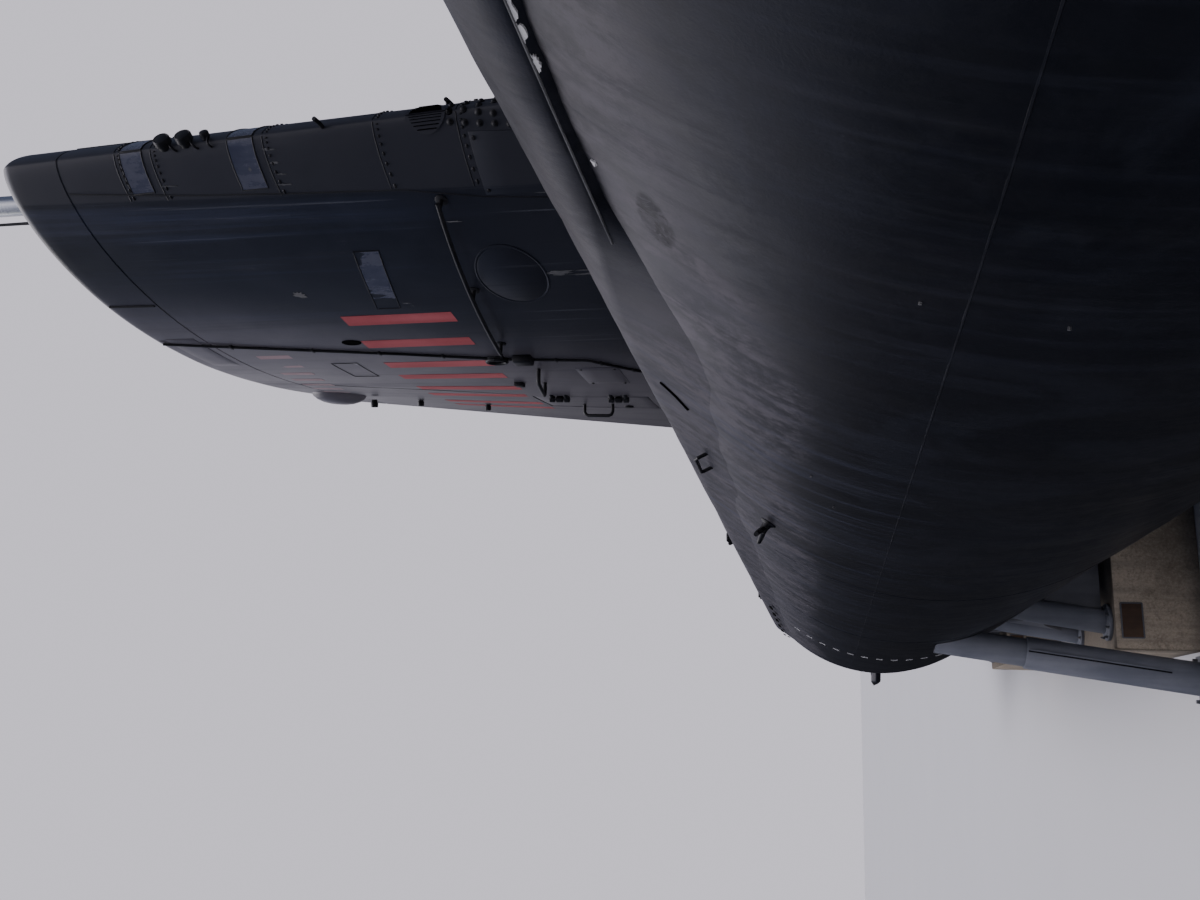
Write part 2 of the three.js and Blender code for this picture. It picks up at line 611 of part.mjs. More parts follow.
// Casing, in two lengths that meet under the sail.
const CASING_JOINT = 4;
const lipStations = [CASING_LIP.from, CASING_LIP.to];
const casingFore = casing([CASING_JOINT + half, ...lipStations, ...evenly(BOW_START, CASING_FORE_END - half, 8)]);
const casingAft = casing([...evenly(CASING_AFT_END + half, STERN_START, 6), CASING_JOINT - half]);
const coamings = HATCHES.map(hatchCoaming);
add("casing_forward", without(joined(casingFore, coamings[0]), hatchWell(HATCHES[0]), mastBore(MASTS[0])), "casing");
add("casing_aft", without(joined(casingAft, coamings[1]), hatchWell(HATCHES[1])), "casing");
HATCHES.forEach((hatch) => add(hatch.name + "_lid", hatchLid(hatch), "casing"));

// Sail: the tower, its cap, and what is let into them.
const capZone = block([-1, -2, CAP_JOINT], [10, 2, 9]);
const towerZone = block([-1, -2, 0], [10, 2, CAP_JOINT - SEAT_GAP / m(1)]);
const sailWhole = without(sailBody(), casingSeat, bridgeWell, ...MASTS.map(mastBore));
const doorRecess = without(doorBlock(SWING_GAP), sailBody(-m(DOOR.thickness + 0.02)));
const tower = without(sailWhole.intersect(towerZone), doorRecess);
add("sail_tower", joined(tower, ...doorHinges.map((parts) => parts.fixed)), "sail");
add("sail_cap", sailWhole.intersect(capZone), "sail");
const doorPanel = without(sailBody().intersect(doorBlock(0)), sailBody(-m(DOOR.thickness)));
add("sail_door", joined(doorPanel, ...doorHinges.map((parts) => parts.moving)), "sail");
SIDES.forEach((side) => add("handrail_" + side.name, handrail(side), "black"));
MASTS.forEach((item) => add(item.name, mast(item), item.name === "periscope_attack" ? "mast" : "black"));

// Whip antenna, stepped in the cap between the attack periscope and the bridge.
const WHIP_X = 7.3;
const whip = joined(
  bar([WHIP_X, 0.2, SAIL_TOP.height + SEAT_GAP / m(1)], [WHIP_X, 0.2, SAIL_TOP.height + 0.16], 0.04, 12),
  bar([WHIP_X, 0.2, SAIL_TOP.height + 0.1], [WHIP_X, 0.2, SAIL_TOP.height + 1.9], 0.014, 8),
);
add("whip_antenna", whip, "black");

SIDES.forEach((side) => add("cleat_" + side.name, cleat(side), "black"));
SIDES.forEach((side) => add("bow_plane_" + side.name, bowPlane(side), "hull"));
SURFACES.forEach((surface) => add(surface.name, movingSurface(surface), "hull"));
add("propeller", propeller(), "bronze");

for (const support of SUPPORTS) {
  add("plinth_" + support.name, plinth(support), "concrete");
  for (const side of SIDES) {
    add("saddle_" + support.name + "_" + side.name, saddle(support, side), "steelwork");
    if (support.strutX) add("strut_" + support.name + "_" + side.name, strut(support, side), "steelwork");
  }
}

export default group;
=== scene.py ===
# %% [markdown]
# # A half-scale submarine, kept ashore on its supports
# The real boat is about 49.6 m long. This model is built at 1:2, and the packed CAD model gives its exact frame:
# metres, +X towards the bow, +Y to port and +Z up, with the ground at zero. Nothing here moves a CAD piece. Each
# visible piece is either a CAD node with a better finish, or a finer mesh that stands in the node's own place.

# %% Load the frame
import json
import math
import random

import bmesh
import bpy
from mathutils import Matrix, Vector, noise

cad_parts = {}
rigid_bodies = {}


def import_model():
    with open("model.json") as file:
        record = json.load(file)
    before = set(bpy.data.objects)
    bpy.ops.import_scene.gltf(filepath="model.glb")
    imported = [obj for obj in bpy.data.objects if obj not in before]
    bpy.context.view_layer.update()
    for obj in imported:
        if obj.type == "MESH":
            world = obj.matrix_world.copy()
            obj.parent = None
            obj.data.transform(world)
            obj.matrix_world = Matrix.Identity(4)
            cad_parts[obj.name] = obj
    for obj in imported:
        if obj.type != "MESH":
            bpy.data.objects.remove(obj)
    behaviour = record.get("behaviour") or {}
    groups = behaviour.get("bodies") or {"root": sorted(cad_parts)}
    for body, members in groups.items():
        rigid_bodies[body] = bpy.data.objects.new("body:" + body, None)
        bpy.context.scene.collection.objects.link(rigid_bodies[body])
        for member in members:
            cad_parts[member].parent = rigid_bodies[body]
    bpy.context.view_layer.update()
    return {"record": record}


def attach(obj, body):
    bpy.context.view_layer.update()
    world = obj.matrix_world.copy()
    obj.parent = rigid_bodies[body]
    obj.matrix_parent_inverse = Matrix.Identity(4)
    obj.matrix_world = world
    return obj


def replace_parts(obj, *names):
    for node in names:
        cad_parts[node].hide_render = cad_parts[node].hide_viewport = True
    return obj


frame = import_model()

# %% [markdown]
# ## Real sizes in, model metres out
# Boatbuilders measure heights from the hull's own axis. It is easier to read the drawing's numbers than halved
# ones, so every size below is the real boat's, in metres, and two helpers bring them to the model.

# %% Scale helpers
SCALE = 0.5
AXIS_OVER_GROUND = 4.15


def size(metres):
    return metres * SCALE


def at(x, y, z):
    return Vector((x * SCALE, y * SCALE, (z + AXIS_OVER_GROUND) * SCALE))


def mix(a, b, t):
    return a + (b - a) * t


def share(value, start, end):
    return min(1.0, max(0.0, (value - start) / (end - start)))


def spaced(start, end, count):
    return [mix(start, end, k / count) for k in range(count + 1)]


def crowded(start, end, count):
    return [mix(start, end, math.sin(k / count * math.pi / 2)) for k in range(count + 1)]


print(
    "a real metre is", size(1.0), "m here, and the hull's axis is", size(AXIS_OVER_GROUND), "m above the ground"
)

# %% [markdown]
# ## Camera
# The photograph was taken from a little ahead of the sail, to starboard and close to the hull, looking aft. The
# camera lay on its side, so the boat's up is the picture's left. The lines of the hull and of the sail's edges meet
# at two vanishing points, and those give the directions below. A camera matrix made from them needs no guessing of
# angles. The lens comes from the same lines: 1084 pixels for a width of 1200.

# %% Camera
EYE = at(15.0, -4.15, 1.10)
LOOK = Vector((-0.9484, 0.2430, 0.2041))
PICTURE_RIGHT = Vector((-0.2012, 0.0370, -0.9789))
PICTURE_WIDTH = 1200
FOCAL_PIXELS = 1084
FILM_WIDTH = 36.0

camera = bpy.data.objects.new("camera", bpy.data.cameras.new("camera"))
bpy.context.scene.collection.objects.link(camera)
right = PICTURE_RIGHT.normalized()
back = -(LOOK - right * LOOK.dot(right)).normalized()
camera.matrix_world = Matrix.Translation(EYE) @ Matrix((right, back.cross(right), back)).transposed().to_4x4()
camera.data.sensor_fit = "HORIZONTAL"
camera.data.sensor_width = FILM_WIDTH
camera.data.lens = FILM_WIDTH * FOCAL_PIXELS / PICTURE_WIDTH
camera.data.clip_start = 0.05
camera.data.clip_end = 500.0
bpy.context.scene.camera = camera
print("camera at", [round(v, 3) for v in EYE], "lens", round(camera.data.lens, 2), "mm")

# %% [markdown]
# ## Shader kit
# A painted surface is a sum of small effects: streaks, worn edges, grit. In Blender each sum is a chain of Math
# nodes. Wrapping a socket in a class lets the sum be written as a plain expression, and the class adds the nodes.


# %% A socket that can be added, multiplied and compared
class Value:
    def __init__(self, finish, socket):
        self.finish = finish
        self.socket = socket

    def _with(self, operation, other, swapped=False):
        pair = (other, self) if swapped else (self, other)
        return self.finish.node("ShaderNodeMath", {"operation": operation}, {0: pair[0], 1: pair[1]})

    def __add__(self, other):
        return self._with("ADD", other)

    def __sub__(self, other):
        return self._with("SUBTRACT", other)

    def __rsub__(self, other):
        return self._with("SUBTRACT", other, swapped=True)

    def __mul__(self, other):
        return self._with("MULTIPLY", other)

    def __abs__(self):
        return self.finish.node("ShaderNodeMath", {"operation": "ABSOLUTE"}, {0: self})

    __radd__ = __add__
    __rmul__ = __mul__


print("a Value takes +, -, * and abs")

# %% [markdown]
# A finish is one material. Its `node` method makes any node: the settings first, then the values or links of its
# sockets. The other methods are the few effects that nearly every surface here uses. Places are read from object
# coordinates, in the model's own metres, so no surface has to be unwrapped.


# %% A finish
class Finish:
    def __init__(self, name):
        self.material = bpy.data.materials.new(name)
        self.material.use_nodes = True
        self.tree = self.material.node_tree
        self.shader = self.tree.nodes["Principled BSDF"]
        self.place = Value(self, self.node("ShaderNodeTexCoord", output=None).outputs["Object"])
        self.x, self.y, self.z = self.split(self.place)

    def split(self, vector):
        parts = self.node("ShaderNodeSeparateXYZ", {}, {0: vector}, output=None)
        return [Value(self, parts.outputs[k]) for k in range(3)]

    def node(self, kind, settings=None, sockets=None, output=0):
        made = self.tree.nodes.new(kind)
        for key, value in (settings or {}).items():
            setattr(made, key, value)
        for key, value in (sockets or {}).items():
            self.feed(made.inputs[key], value)
        return made if output is None else Value(self, made.outputs[output])

    def feed(self, socket, value):
        if isinstance(value, Value):
            self.tree.links.new(value.socket, socket)
        elif isinstance(value, tuple) and len(value) == 3 and socket.type == "RGBA":
            socket.default_value = (*value, 1.0)
        else:
            socket.default_value = value

    def blend(self, factor, under, over, mode="MIX"):
        settings = {"data_type": "RGBA", "blend_type": mode, "clamp_factor": True}
        return self.node("ShaderNodeMix", settings, {0: factor, 6: under, 7: over}, output=2)

    def stretch(self, x=1.0, y=1.0, z=1.0):
        return self.node("ShaderNodeVectorMath", {"operation": "MULTIPLY"}, {0: self.place, 1: (x, y, z)})

    def noise(self, scale, where=None, detail=4.0, roughness=0.55, distortion=0.0):
        sockets = {"Scale": scale, "Detail": detail, "Roughness": roughness, "Distortion": distortion}
        return self.node("ShaderNodeTexNoise", {}, {"Vector": where or self.place, **sockets})

    def cells(self, scale, where=None):
        return self.node("ShaderNodeTexVoronoi", {}, {"Vector": where or self.place, "Scale": scale})

    def facing_up(self):
        normal = Value(self, self.node("ShaderNodeNewGeometry", output=None).outputs["Normal"])
        return self.split(normal)[2]

    def rise(self, value, low, high):
        settings = {"interpolation_type": "SMOOTHSTEP", "clamp": True}
        return self.node("ShaderNodeMapRange", settings, {0: value, 1: low, 2: high})

    def bump(self, height, distance, strength=1.0, under=None):
        sockets = {"Height": height, "Distance": distance, "Strength": strength}
        if under is not None:
            sockets["Normal"] = under
        return self.node("ShaderNodeBump", {}, sockets)

    def done(self, varying, **fixed):
        for key, value in varying.items():
            self.feed(self.shader.inputs[key], value)
        for key, value in fixed.items():
            self.shader.inputs[key.replace("_", " ").title().replace("Ior", "IOR")].default_value = value
        return self.material


print("a Finish makes", ", ".join(name for name in vars(Finish) if not name.startswith("_")))

# %% [markdown]
# ## Boat paint
# Old boat paint is nearly black, and what one sees is its sheen: salt and rain run down it in long streaks, the
# brush left broad bands, and the plates under it are never quite flat. Streaks could be painted by hand on an
# unwrapped skin. Here they are noise that is squeezed along the boat and stretched down its girth, so they follow
# the shape with no unwrapping at all. Dust settles only where a surface looks up, which its normal tells.


# %% Paint with streaks
def boat_paint(name, deep, dull, salt, dust, zones, streak=1.0, gloss=0.37, grit=0.0006, specular=0.5):
    f = Finish(name)
    girth_streaks = f.noise(1.0, f.stretch(7.0, 0.45, 0.45), detail=6.0, roughness=0.62, distortion=0.15)
    fine_streaks = f.noise(1.0, f.stretch(38.0, 1.1, 1.1), detail=5.0, roughness=0.6)
    clouds = f.noise(0.55, detail=5.0, roughness=0.6)
    blotches = f.noise(3.2, detail=7.0, roughness=0.68, distortion=0.4)
    grain = f.noise(160.0, detail=3.0, roughness=0.6)
    worn = f.rise(girth_streaks * 0.6 + fine_streaks * 0.4, 0.5, 0.74) * streak
    salted = f.rise(fine_streaks * 0.55 + blotches * 0.45, 0.6, 0.74) * f.rise(clouds, 0.42, 0.62) * streak
    specks = f.rise(f.cells(46.0), 0.13, 0.05) * f.rise(blotches, 0.5, 0.62)
    settled = f.rise(f.facing_up(), 0.45, 0.95) * f.rise(blotches * 0.6 + clouds * 0.4, 0.38, 0.62)
    colour = f.blend(f.rise(clouds * 0.5 + blotches * 0.5, 0.34, 0.66), deep, dull)
    colour = f.blend(worn * 0.55, colour, dull)
    colour = f.blend(settled * 0.6, colour, dust)
    colour = f.blend(salted * 0.34, colour, salt)
    colour = f.blend(specks * 0.25, colour, salt)
    rough = gloss + worn * 0.12 + salted * 0.2 + settled * 0.16 + (blotches - 0.5) * 0.16 + (grain - 0.5) * 0.06
    colour, rough = zones(f, colour, rough, blotches, fine_streaks)
    waves = f.noise(1.1, detail=2.0) * 0.7 + f.noise(2.7, f.stretch(1.0, 0.6, 0.6), detail=2.0) * 0.3
    plates = f.bump(waves, 0.03, 0.3)
    skin = f.bump(grain * 0.5 + blotches * 0.5 + salted * 0.25, grit, 0.8, plates)
    return f.done({"Base Color": colour, "Roughness": rough, "Normal": skin}, specular_ior_level=specular)


print("boat paint has streaks, salt, dust and grit")

# %% [markdown]
# Each surface adds its own zones. The hull's shoulder and the deck are mottled where rain lies, one patch has
# peeled, and dirt has run down below each mooring cleat. The sail's leading edge was plated and repainted apart, so
# it is greyer ahead of its panel seam. Some zones are painted light: streaks on the hull's far flank and high on the
# sail carry a painted blue reflection of the sky, and the sail's aft part is painted paler as if lit from astern.
# All are masks made from the place on the boat.

# %% Hull, deck and sail paint
CLEAT_X = 5.55
SAIL_SEAM_X = 8.03
PEELED_X, PEELED_Z = 11.32, 1.71


def height_of(real):
    return size(AXIS_OVER_GROUND + real)


def stained(f, colour, rough, blotches, fine_streaks, cover=1.0):
    drift = (f.noise(1.1, detail=3.0, roughness=0.5) - 0.5) * 0.5 + (blotches - 0.5) * 0.16
    ahead = f.rise(f.x, size(9.9), size(12.9))
    weathered = f.rise(
        f.z + drift - ahead * 0.17, height_of(1.14), height_of(1.44)
    ) * cover * (1.0 - ahead * 0.4)
    patch_x, patch_z = (f.x - size(PEELED_X)) * 8.0, (f.z - height_of(PEELED_Z)) * 26.0
    patch = f.rise(patch_x * patch_x + patch_z * patch_z + (blotches - 0.5) * 2.4, 1.1, 0.7)
    flaking = f.rise(f.noise(17.0, detail=10.0, roughness=0.78, distortion=0.6), 0.48, 0.54)
    rain = f.noise(1.0, f.stretch(15.0, 0.8, 0.8), detail=7.0, roughness=0.7, distortion=0.2)
    speckle = f.noise(24.0, detail=6.0, roughness=0.75)
    stains = f.noise(6.5, f.stretch(1.0, 0.6, 0.6), detail=9.0, roughness=0.74, distortion=0.8)
    mottle = f.rise(stains * 0.48 + rain * 0.16 + speckle * 0.36, 0.44, 0.56)
    bloom = f.blend(mottle, (0.015, 0.0148, 0.0195), (0.108, 0.098, 0.11))
    colour = f.blend(weathered * 0.85, colour, bloom)
    colour = f.blend(patch * flaking, colour, (0.006, 0.006, 0.007))
    rough = rough + weathered * 0.08 + patch * 0.1 + (mottle - 0.5) * 0.08
    # Rain streaks in pale blue, strongest on the far flank: the streaks are real, and their blue is a painted
    # reflection of the sky.
    far = f.rise(f.x, size(10.2), size(8.4)) * f.rise(f.z, height_of(0.2), height_of(0.9))
    sheen = f.rise(rain * 0.7 + fine_streaks * 0.3, 0.47, 0.66) * (0.14 + far * 0.6)
    colour = f.blend(sheen, colour, (0.042, 0.049, 0.08))
    cloudy = f.rise(f.noise(1.9, detail=5.0, roughness=0.6, distortion=1.2), 0.48, 0.62)
    colour = f.blend(cloudy * 0.3, colour, (0.022, 0.026, 0.038))
    under_cleat = f.rise(abs(f.x - size(CLEAT_X)) + (blotches - 0.5) * 0.12, 0.13, 0.02)
    below = f.rise(f.z, 2.15, 2.5) * f.rise(f.z, height_of(1.75), height_of(1.55))
    run = under_cleat * below * f.rise(fine_streaks, 0.36, 0.6)
    return f.blend(run * 0.85, colour, (0.004, 0.004, 0.005)), rough - run * 0.12


def decked(f, colour, rough, blotches, fine_streaks):
    cover = 0.12 + 0.83 * f.rise(f.x, size(10.8), size(9.2))
    return stained(f, colour, rough, blotches, fine_streaks, cover)


def leading_edge(f, colour, rough, blotches, fine_streaks):
    ahead = f.rise(f.x, size(SAIL_SEAM_X) - 0.005, size(SAIL_SEAM_X) + 0.005)
    # The sail's aft and upper part is made paler: painted light, as if it caught the sky from astern.
    painted_aft_light = f.rise(f.x - (f.z - 4.8) * 0.4 + (blotches - 0.5) * 0.35, size(6.8), size(4.9))
    low = f.rise(f.z + (blotches - 0.5) * 0.5, 4.3, 3.6) * 0.2
    # Drifting streaks high on the sail, tinted blue: real streaks that carry a painted reflection of the sky.
    drift = f.noise(1.0, f.stretch(4.2, 0.2, 0.22), detail=5.0, roughness=0.6, distortion=0.1)
    thin = f.noise(1.0, f.stretch(30.0, 0.2, 0.5), detail=4.0, roughness=0.6)
    blue = f.rise(drift * 0.75 + thin * 0.25, 0.5, 0.68) * f.rise(f.z, 3.6, 4.9)
    salt_runs = f.rise(
        f.noise(1.0, f.stretch(55.0, 0.3, 0.7), detail=3.0), 0.6, 0.72
    ) * f.rise(drift, 0.48, 0.6)
    colour = f.blend(blue * 0.7, colour, (0.042, 0.054, 0.105))
    colour = f.blend(ahead * 0.75 + low * 2.4, colour, (0.034, 0.035, 0.043))
    colour = f.blend(painted_aft_light * 0.9, colour, (0.12, 0.112, 0.127))
    colour = f.blend(salt_runs * 0.5, colour, (0.13, 0.14, 0.16))
    return colour, rough + ahead * 0.05 + blue * 0.05


HULL_PAINT = boat_paint(
    "hull_paint", (0.0045, 0.0052, 0.0078), (0.0105, 0.011, 0.0155), (0.06, 0.062, 0.072), (0.06, 0.053, 0.056),
    stained, streak=1.3,
)
DECK_PAINT = boat_paint(
    "deck_paint", (0.0055, 0.006, 0.0095), (0.0125, 0.0135, 0.02), (0.07, 0.072, 0.08), (0.05, 0.046, 0.05),
    decked, gloss=0.42, grit=0.001, specular=0.38,
)
SAIL_PAINT = boat_paint(
    "sail_paint", (0.006, 0.0072, 0.0125), (0.015, 0.0175, 0.028), (0.09, 0.1, 0.125), (0.04, 0.04, 0.042),
    leading_edge, streak=1.3,
)
print("boat paints made")


# %% [markdown]
# ## The other finishes
# Every fitting has its own worn finish: a base that varies, an edge or patch where the weather got through, and a
# fine grain. A helper covers the painted ones. Concrete, bare steel, bronze and glass each get their own.


# %% Painted fittings
def fitting_paint(name, base, worn, gloss, chips, bare=(0.11, 0.075, 0.055), grain_scale=90.0, specular=0.5):
    f = Finish(name)
    cloud = f.noise(2.3, detail=6.0, roughness=0.62)
    runs = f.noise(1.0, f.stretch(16.0, 16.0, 0.9), detail=5.0, roughness=0.6)
    flecks = f.noise(21.0, detail=8.0, roughness=0.72)
    grain = f.noise(grain_scale, detail=3.0)
    faded = f.rise(cloud * 0.55 + runs * 0.45, 0.38, 0.64)
    chipped = f.rise(flecks + (cloud - 0.5) * 0.3, 0.72, 0.76) * chips
    colour = f.blend(faded, base, worn)
    colour = f.blend(chipped, colour, bare)
    rough = gloss + faded * 0.12 + chipped * 0.3 + (grain - 0.5) * 0.12
    height = f.bump(grain * 0.4 + flecks * 0.4 - chipped * 0.8, 0.0007, 0.7)
    return f.done({"Base Color": colour, "Roughness": rough, "Normal": height}, specular_ior_level=specular)


BLACK_PAINT = fitting_paint("black_fitting_paint", (0.006, 0.006, 0.0075), (0.02, 0.02, 0.022), 0.42, 0.5)
RED_PAINT = fitting_paint(
    "faded_red_paint", (0.43, 0.07, 0.076), (0.56, 0.13, 0.14), 0.55, 0.75, bare=(0.03, 0.03, 0.038)
)
PALE_RED_PAINT = fitting_paint(
    "chalky_red_paint", (0.36, 0.23, 0.24), (0.5, 0.38, 0.39), 0.6, 0.8, bare=(0.06, 0.05, 0.06)
)
PRIMER = fitting_paint(
    "chalky_white_primer", (0.5, 0.5, 0.5), (0.72, 0.72, 0.7), 0.7, 0.6, bare=(0.04, 0.04, 0.05)
)
SEAM_PAINT = fitting_paint("weld_seam_paint", (0.005, 0.0055, 0.008), (0.014, 0.015, 0.02), 0.45, 0.3)
# Near-black for openings that are modelled as plates: painted shade standing for the dark inside of a slot, port or
# louvre.
OPENING_SHADE = fitting_paint(
    "dark_opening", (0.0012, 0.0012, 0.0014), (0.003, 0.003, 0.0032), 0.9, 0.2, bare=(0.004, 0.003, 0.003),
    specular=0.05,
)
# Pale grey for chips and drips, and also for the painted highlight line along the casing's crease.
PALE_WEAR_AND_HIGHLIGHT = fitting_paint(
    "worn_pale_edge", (0.07, 0.072, 0.076), (0.16, 0.16, 0.16), 0.6, 0.8, bare=(0.02, 0.021, 0.027)
)
TUBE_PAINT = fitting_paint("grey_tube_paint", (0.155, 0.168, 0.2), (0.22, 0.232, 0.262), 0.48, 0.4)
WEB_PAINT = fitting_paint("dark_web_paint", (0.12, 0.125, 0.14), (0.18, 0.185, 0.2), 0.5, 0.5)
GRIP_PAINT = fitting_paint(
    "grip_strip_paint", (0.05, 0.052, 0.057), (0.09, 0.092, 0.098), 0.75, 0.6, grain_scale=220.0
)
print("painted finishes made")


# %% Bare metal, glass, concrete and floor
def bare_metal(name, base, dark, rough_low, rough_span, brushed=(4.0, 4.0, 60.0)):
    f = Finish(name)
    brush = f.noise(3.0, f.stretch(*brushed), detail=4.0)
    stain = f.noise(5.0, detail=7.0, roughness=0.7, distortion=0.5)
    spot = f.rise(stain, 0.52, 0.72)
    colour = f.blend(spot * 0.7, base, dark)
    rough = rough_low + brush * rough_span + spot * 0.25
    return f.done(
        {"Base Color": colour, "Roughness": rough, "Normal": f.bump(brush, 0.0004, 0.5)}, metallic=1.0
    )


MAST_STEEL = bare_metal("bright_mast_tube", (0.62, 0.64, 0.66), (0.4, 0.41, 0.42), 0.16, 0.16)
BRONZE = bare_metal("dull_bronze", (0.38, 0.235, 0.085), (0.11, 0.12, 0.075), 0.28, 0.2, (8.0, 8.0, 8.0))
BOLT_STEEL = bare_metal(
    "weathered_bolt_steel", (0.3, 0.3, 0.31), (0.13, 0.09, 0.07), 0.35, 0.2, (30.0, 30.0, 30.0)
)
RUST_PLATE = fitting_paint(
    "rusty_blank_plate", (0.075, 0.045, 0.028), (0.14, 0.085, 0.05), 0.8, 0.5, bare=(0.03, 0.02, 0.018)
)


def window_glass(name, clear, salted_colour):
    f = Finish(name)
    film = f.noise(6.0, f.stretch(1.0, 1.0, 0.5), detail=7.0, roughness=0.7)
    runs = f.noise(1.0, f.stretch(60.0, 60.0, 3.0), detail=4.0)
    salted = f.rise(film * 0.85 + runs * 0.15, 0.36, 0.66)
    colour = f.blend(salted * 0.8, clear, salted_colour)
    return f.done({"Base Color": colour, "Roughness": 0.14 + salted * 0.35}, coat_weight=0.4)


def poured_concrete():
    f = Finish("poured_concrete")
    cloud = f.noise(1.3, detail=7.0, roughness=0.62)
    runs = f.noise(1.0, f.stretch(9.0, 9.0, 0.7), detail=6.0, roughness=0.65)
    sand = f.noise(60.0, detail=5.0, roughness=0.7)
    holes = f.rise(f.cells(17.0), 0.1, 0.03) * f.rise(f.noise(4.0), 0.46, 0.6)
    damp = f.rise(runs * 0.6 + cloud * 0.4, 0.46, 0.66)
    foot = f.rise(f.z + (cloud - 0.5) * 0.16, 0.14, 0.02)
    pits = f.rise(f.noise(26.0, detail=8.0, roughness=0.8), 0.52, 0.62)
    colour = f.blend(f.rise(cloud * 0.6 + sand * 0.4, 0.36, 0.62), (0.31, 0.255, 0.185), (0.62, 0.525, 0.39))
    colour = f.blend(pits * 0.45, colour, (0.17, 0.135, 0.1))
    colour = f.blend(damp * 0.5, colour, (0.17, 0.14, 0.112))
    colour = f.blend(foot * 0.5, colour, (0.1, 0.095, 0.08))
    colour = f.blend(holes, colour, (0.07, 0.062, 0.054))
    # Up-facing faces are darkened: grime, and painted shade for the hull's shadow on the plinth tops.
    colour = f.blend(f.rise(f.facing_up(), 0.5, 0.9) * (0.45 + cloud * 0.4), colour, (0.13, 0.11, 0.088))
    height = f.bump(sand * 0.35 + cloud * 0.6 - holes, 0.004, 0.7)
    return f.done({"Base Color": colour, "Roughness": 0.8 + (sand - 0.5) * 0.2, "Normal": height})


def studio_floor():
    f = Finish("pale_floor")
    cloud = f.noise(0.35, detail=3.0)
    grain = f.noise(70.0, detail=3.0)
    colour = f.blend(cloud, (0.66, 0.663, 0.668), (0.7, 0.7, 0.7))
    return f.done({
        "Base Color": colour, "Roughness": 0.75 + (grain - 0.5) * 0.1, "Normal": f.bump(grain, 0.0008, 0.3)
    })


WINDOW_GLASS = window_glass("salted_window_glass", (0.05, 0.055, 0.085), (0.13, 0.135, 0.17))
DIM_GLASS = window_glass("dim_window_glass", (0.02, 0.023, 0.035), (0.06, 0.065, 0.085))
CONCRETE = poured_concrete()
FLOOR_FINISH = studio_floor()
print(len(bpy.data.materials), "finishes")

# %% [markdown]
# ## Hull lines
# The hull is a stack of cross sections. Amidships every section is the same circle. Ahead of the bow's start and
# behind the stern's start the half beam, the height and the depth each shrink along their own curve, which is what
# makes the bow blunt from above and the tail slim. The casing, the walking deck, replaces the circle's crown.

# %% Sections of hull and casing
HALF_LENGTH = 24.8
HULL_RADIUS = 2.9
BOW_START = 11.5
STERN_START = -9.5
TAIL_END = -22.9
TAIL_RADIUS = 0.42
SHAFT_HEIGHT = -0.3
FOOT_ANGLE = 5 / 42 * math.tau
CASING_FORE_END = 21.2
CASING_AFT_END = -17.2
LIP_WIDTH = 0.04
LIP_FROM, LIP_TO = 5.0, 10.0
DECK_SHARE = 0.91
PORT, STARBOARD = 1, -1
SIDES = {"port": PORT, "starboard": STARBOARD}


def hull_lines(x):
    if x > STERN_START:
        t = share(x, BOW_START, HALF_LENGTH + 0.002)
        beam = HULL_RADIUS * (1 - t**2.1) ** 0.6
        return beam, HULL_RADIUS * (1 - t**2.6) ** 0.55, HULL_RADIUS * (1 - t**2.2) ** 0.6, 0.0
    t = share(-x, -STERN_START, -TAIL_END)
    beam = mix(HULL_RADIUS, TAIL_RADIUS, t**1.7)
    top = mix(HULL_RADIUS, TAIL_RADIUS, t**1.9)
    return beam, top, mix(HULL_RADIUS, TAIL_RADIUS, t**1.55), mix(0.0, SHAFT_HEIGHT, t**1.5)


def hull_point(x, angle, out=0.0):
    beam, top, bottom, middle = hull_lines(x)
    height = top if math.sin(angle) > 0 else bottom
    return (x, (beam + out) * math.cos(angle), middle + (height + out) * math.sin(angle))


def foot_height(x):
    _, top, _, middle = hull_lines(x)
    return middle + top * math.sin(FOOT_ANGLE)


def casing_point(x, angle, out=0.0):
    beam, top, _, middle = hull_lines(x)
    towards_end = max(share(x, BOW_START, CASING_FORE_END), share(-x, -STERN_START, -CASING_AFT_END))
    foot = foot_height(x)
    crest = middle + top * mix(DECK_SHARE, 1.0, towards_end)
    width = beam * math.cos(FOOT_ANGLE) + LIP_WIDTH * share(x, LIP_FROM, LIP_TO) * (1 - towards_end)
    return (x, (width + out) * math.cos(angle), foot + (crest - foot + out) * max(0.0, math.sin(angle)))


def deck_height(x):
    return casing_point(x, math.pi / 2)[2]


def hull_reach(x, way):
    beam, top, bottom, middle = hull_lines(x)
    if way[2] == 0:
        return beam
    return way[2] * (middle - SHAFT_HEIGHT) + (top if way[2] > 0 else bottom)


print("hull radius amidships", hull_lines(0)[0], "and at the fins", round(hull_lines(-18)[0], 3))

# %% [markdown]
# ## Sail lines
# Seen from above the sail is a wing section: a fine nose, the greatest width a third of the way aft, and a thin
# trailing edge that leans forward as it rises. A point on it is named by its turn from the nose, over port, and its
# height. Fittings are placed by their distance along the boat instead, so a helper finds the turn for that.

# %% Sections of the sail
SAIL_FOOT = {"height": 2.3, "front": 8.63, "back": -0.34, "half": 0.68}
SAIL_TOP = {"height": 7.62, "front": 8.24, "back": 1.77, "half": 0.68}
NOSE_POWER, TAIL_POWER = 0.67, 1.22
SAIL_EDGE = 0.12
CAP_JOINT = 7.04


def wing(chord_share):
    return chord_share**NOSE_POWER * (1 - chord_share) ** TAIL_POWER


WING_PEAK = wing(NOSE_POWER / (NOSE_POWER + TAIL_POWER))


def sail_level(height):
    t = (height - SAIL_FOOT["height"]) / (SAIL_TOP["height"] - SAIL_FOOT["height"])
    return [mix(SAIL_FOOT[key], SAIL_TOP[key], t) for key in ("front", "back", "half")]


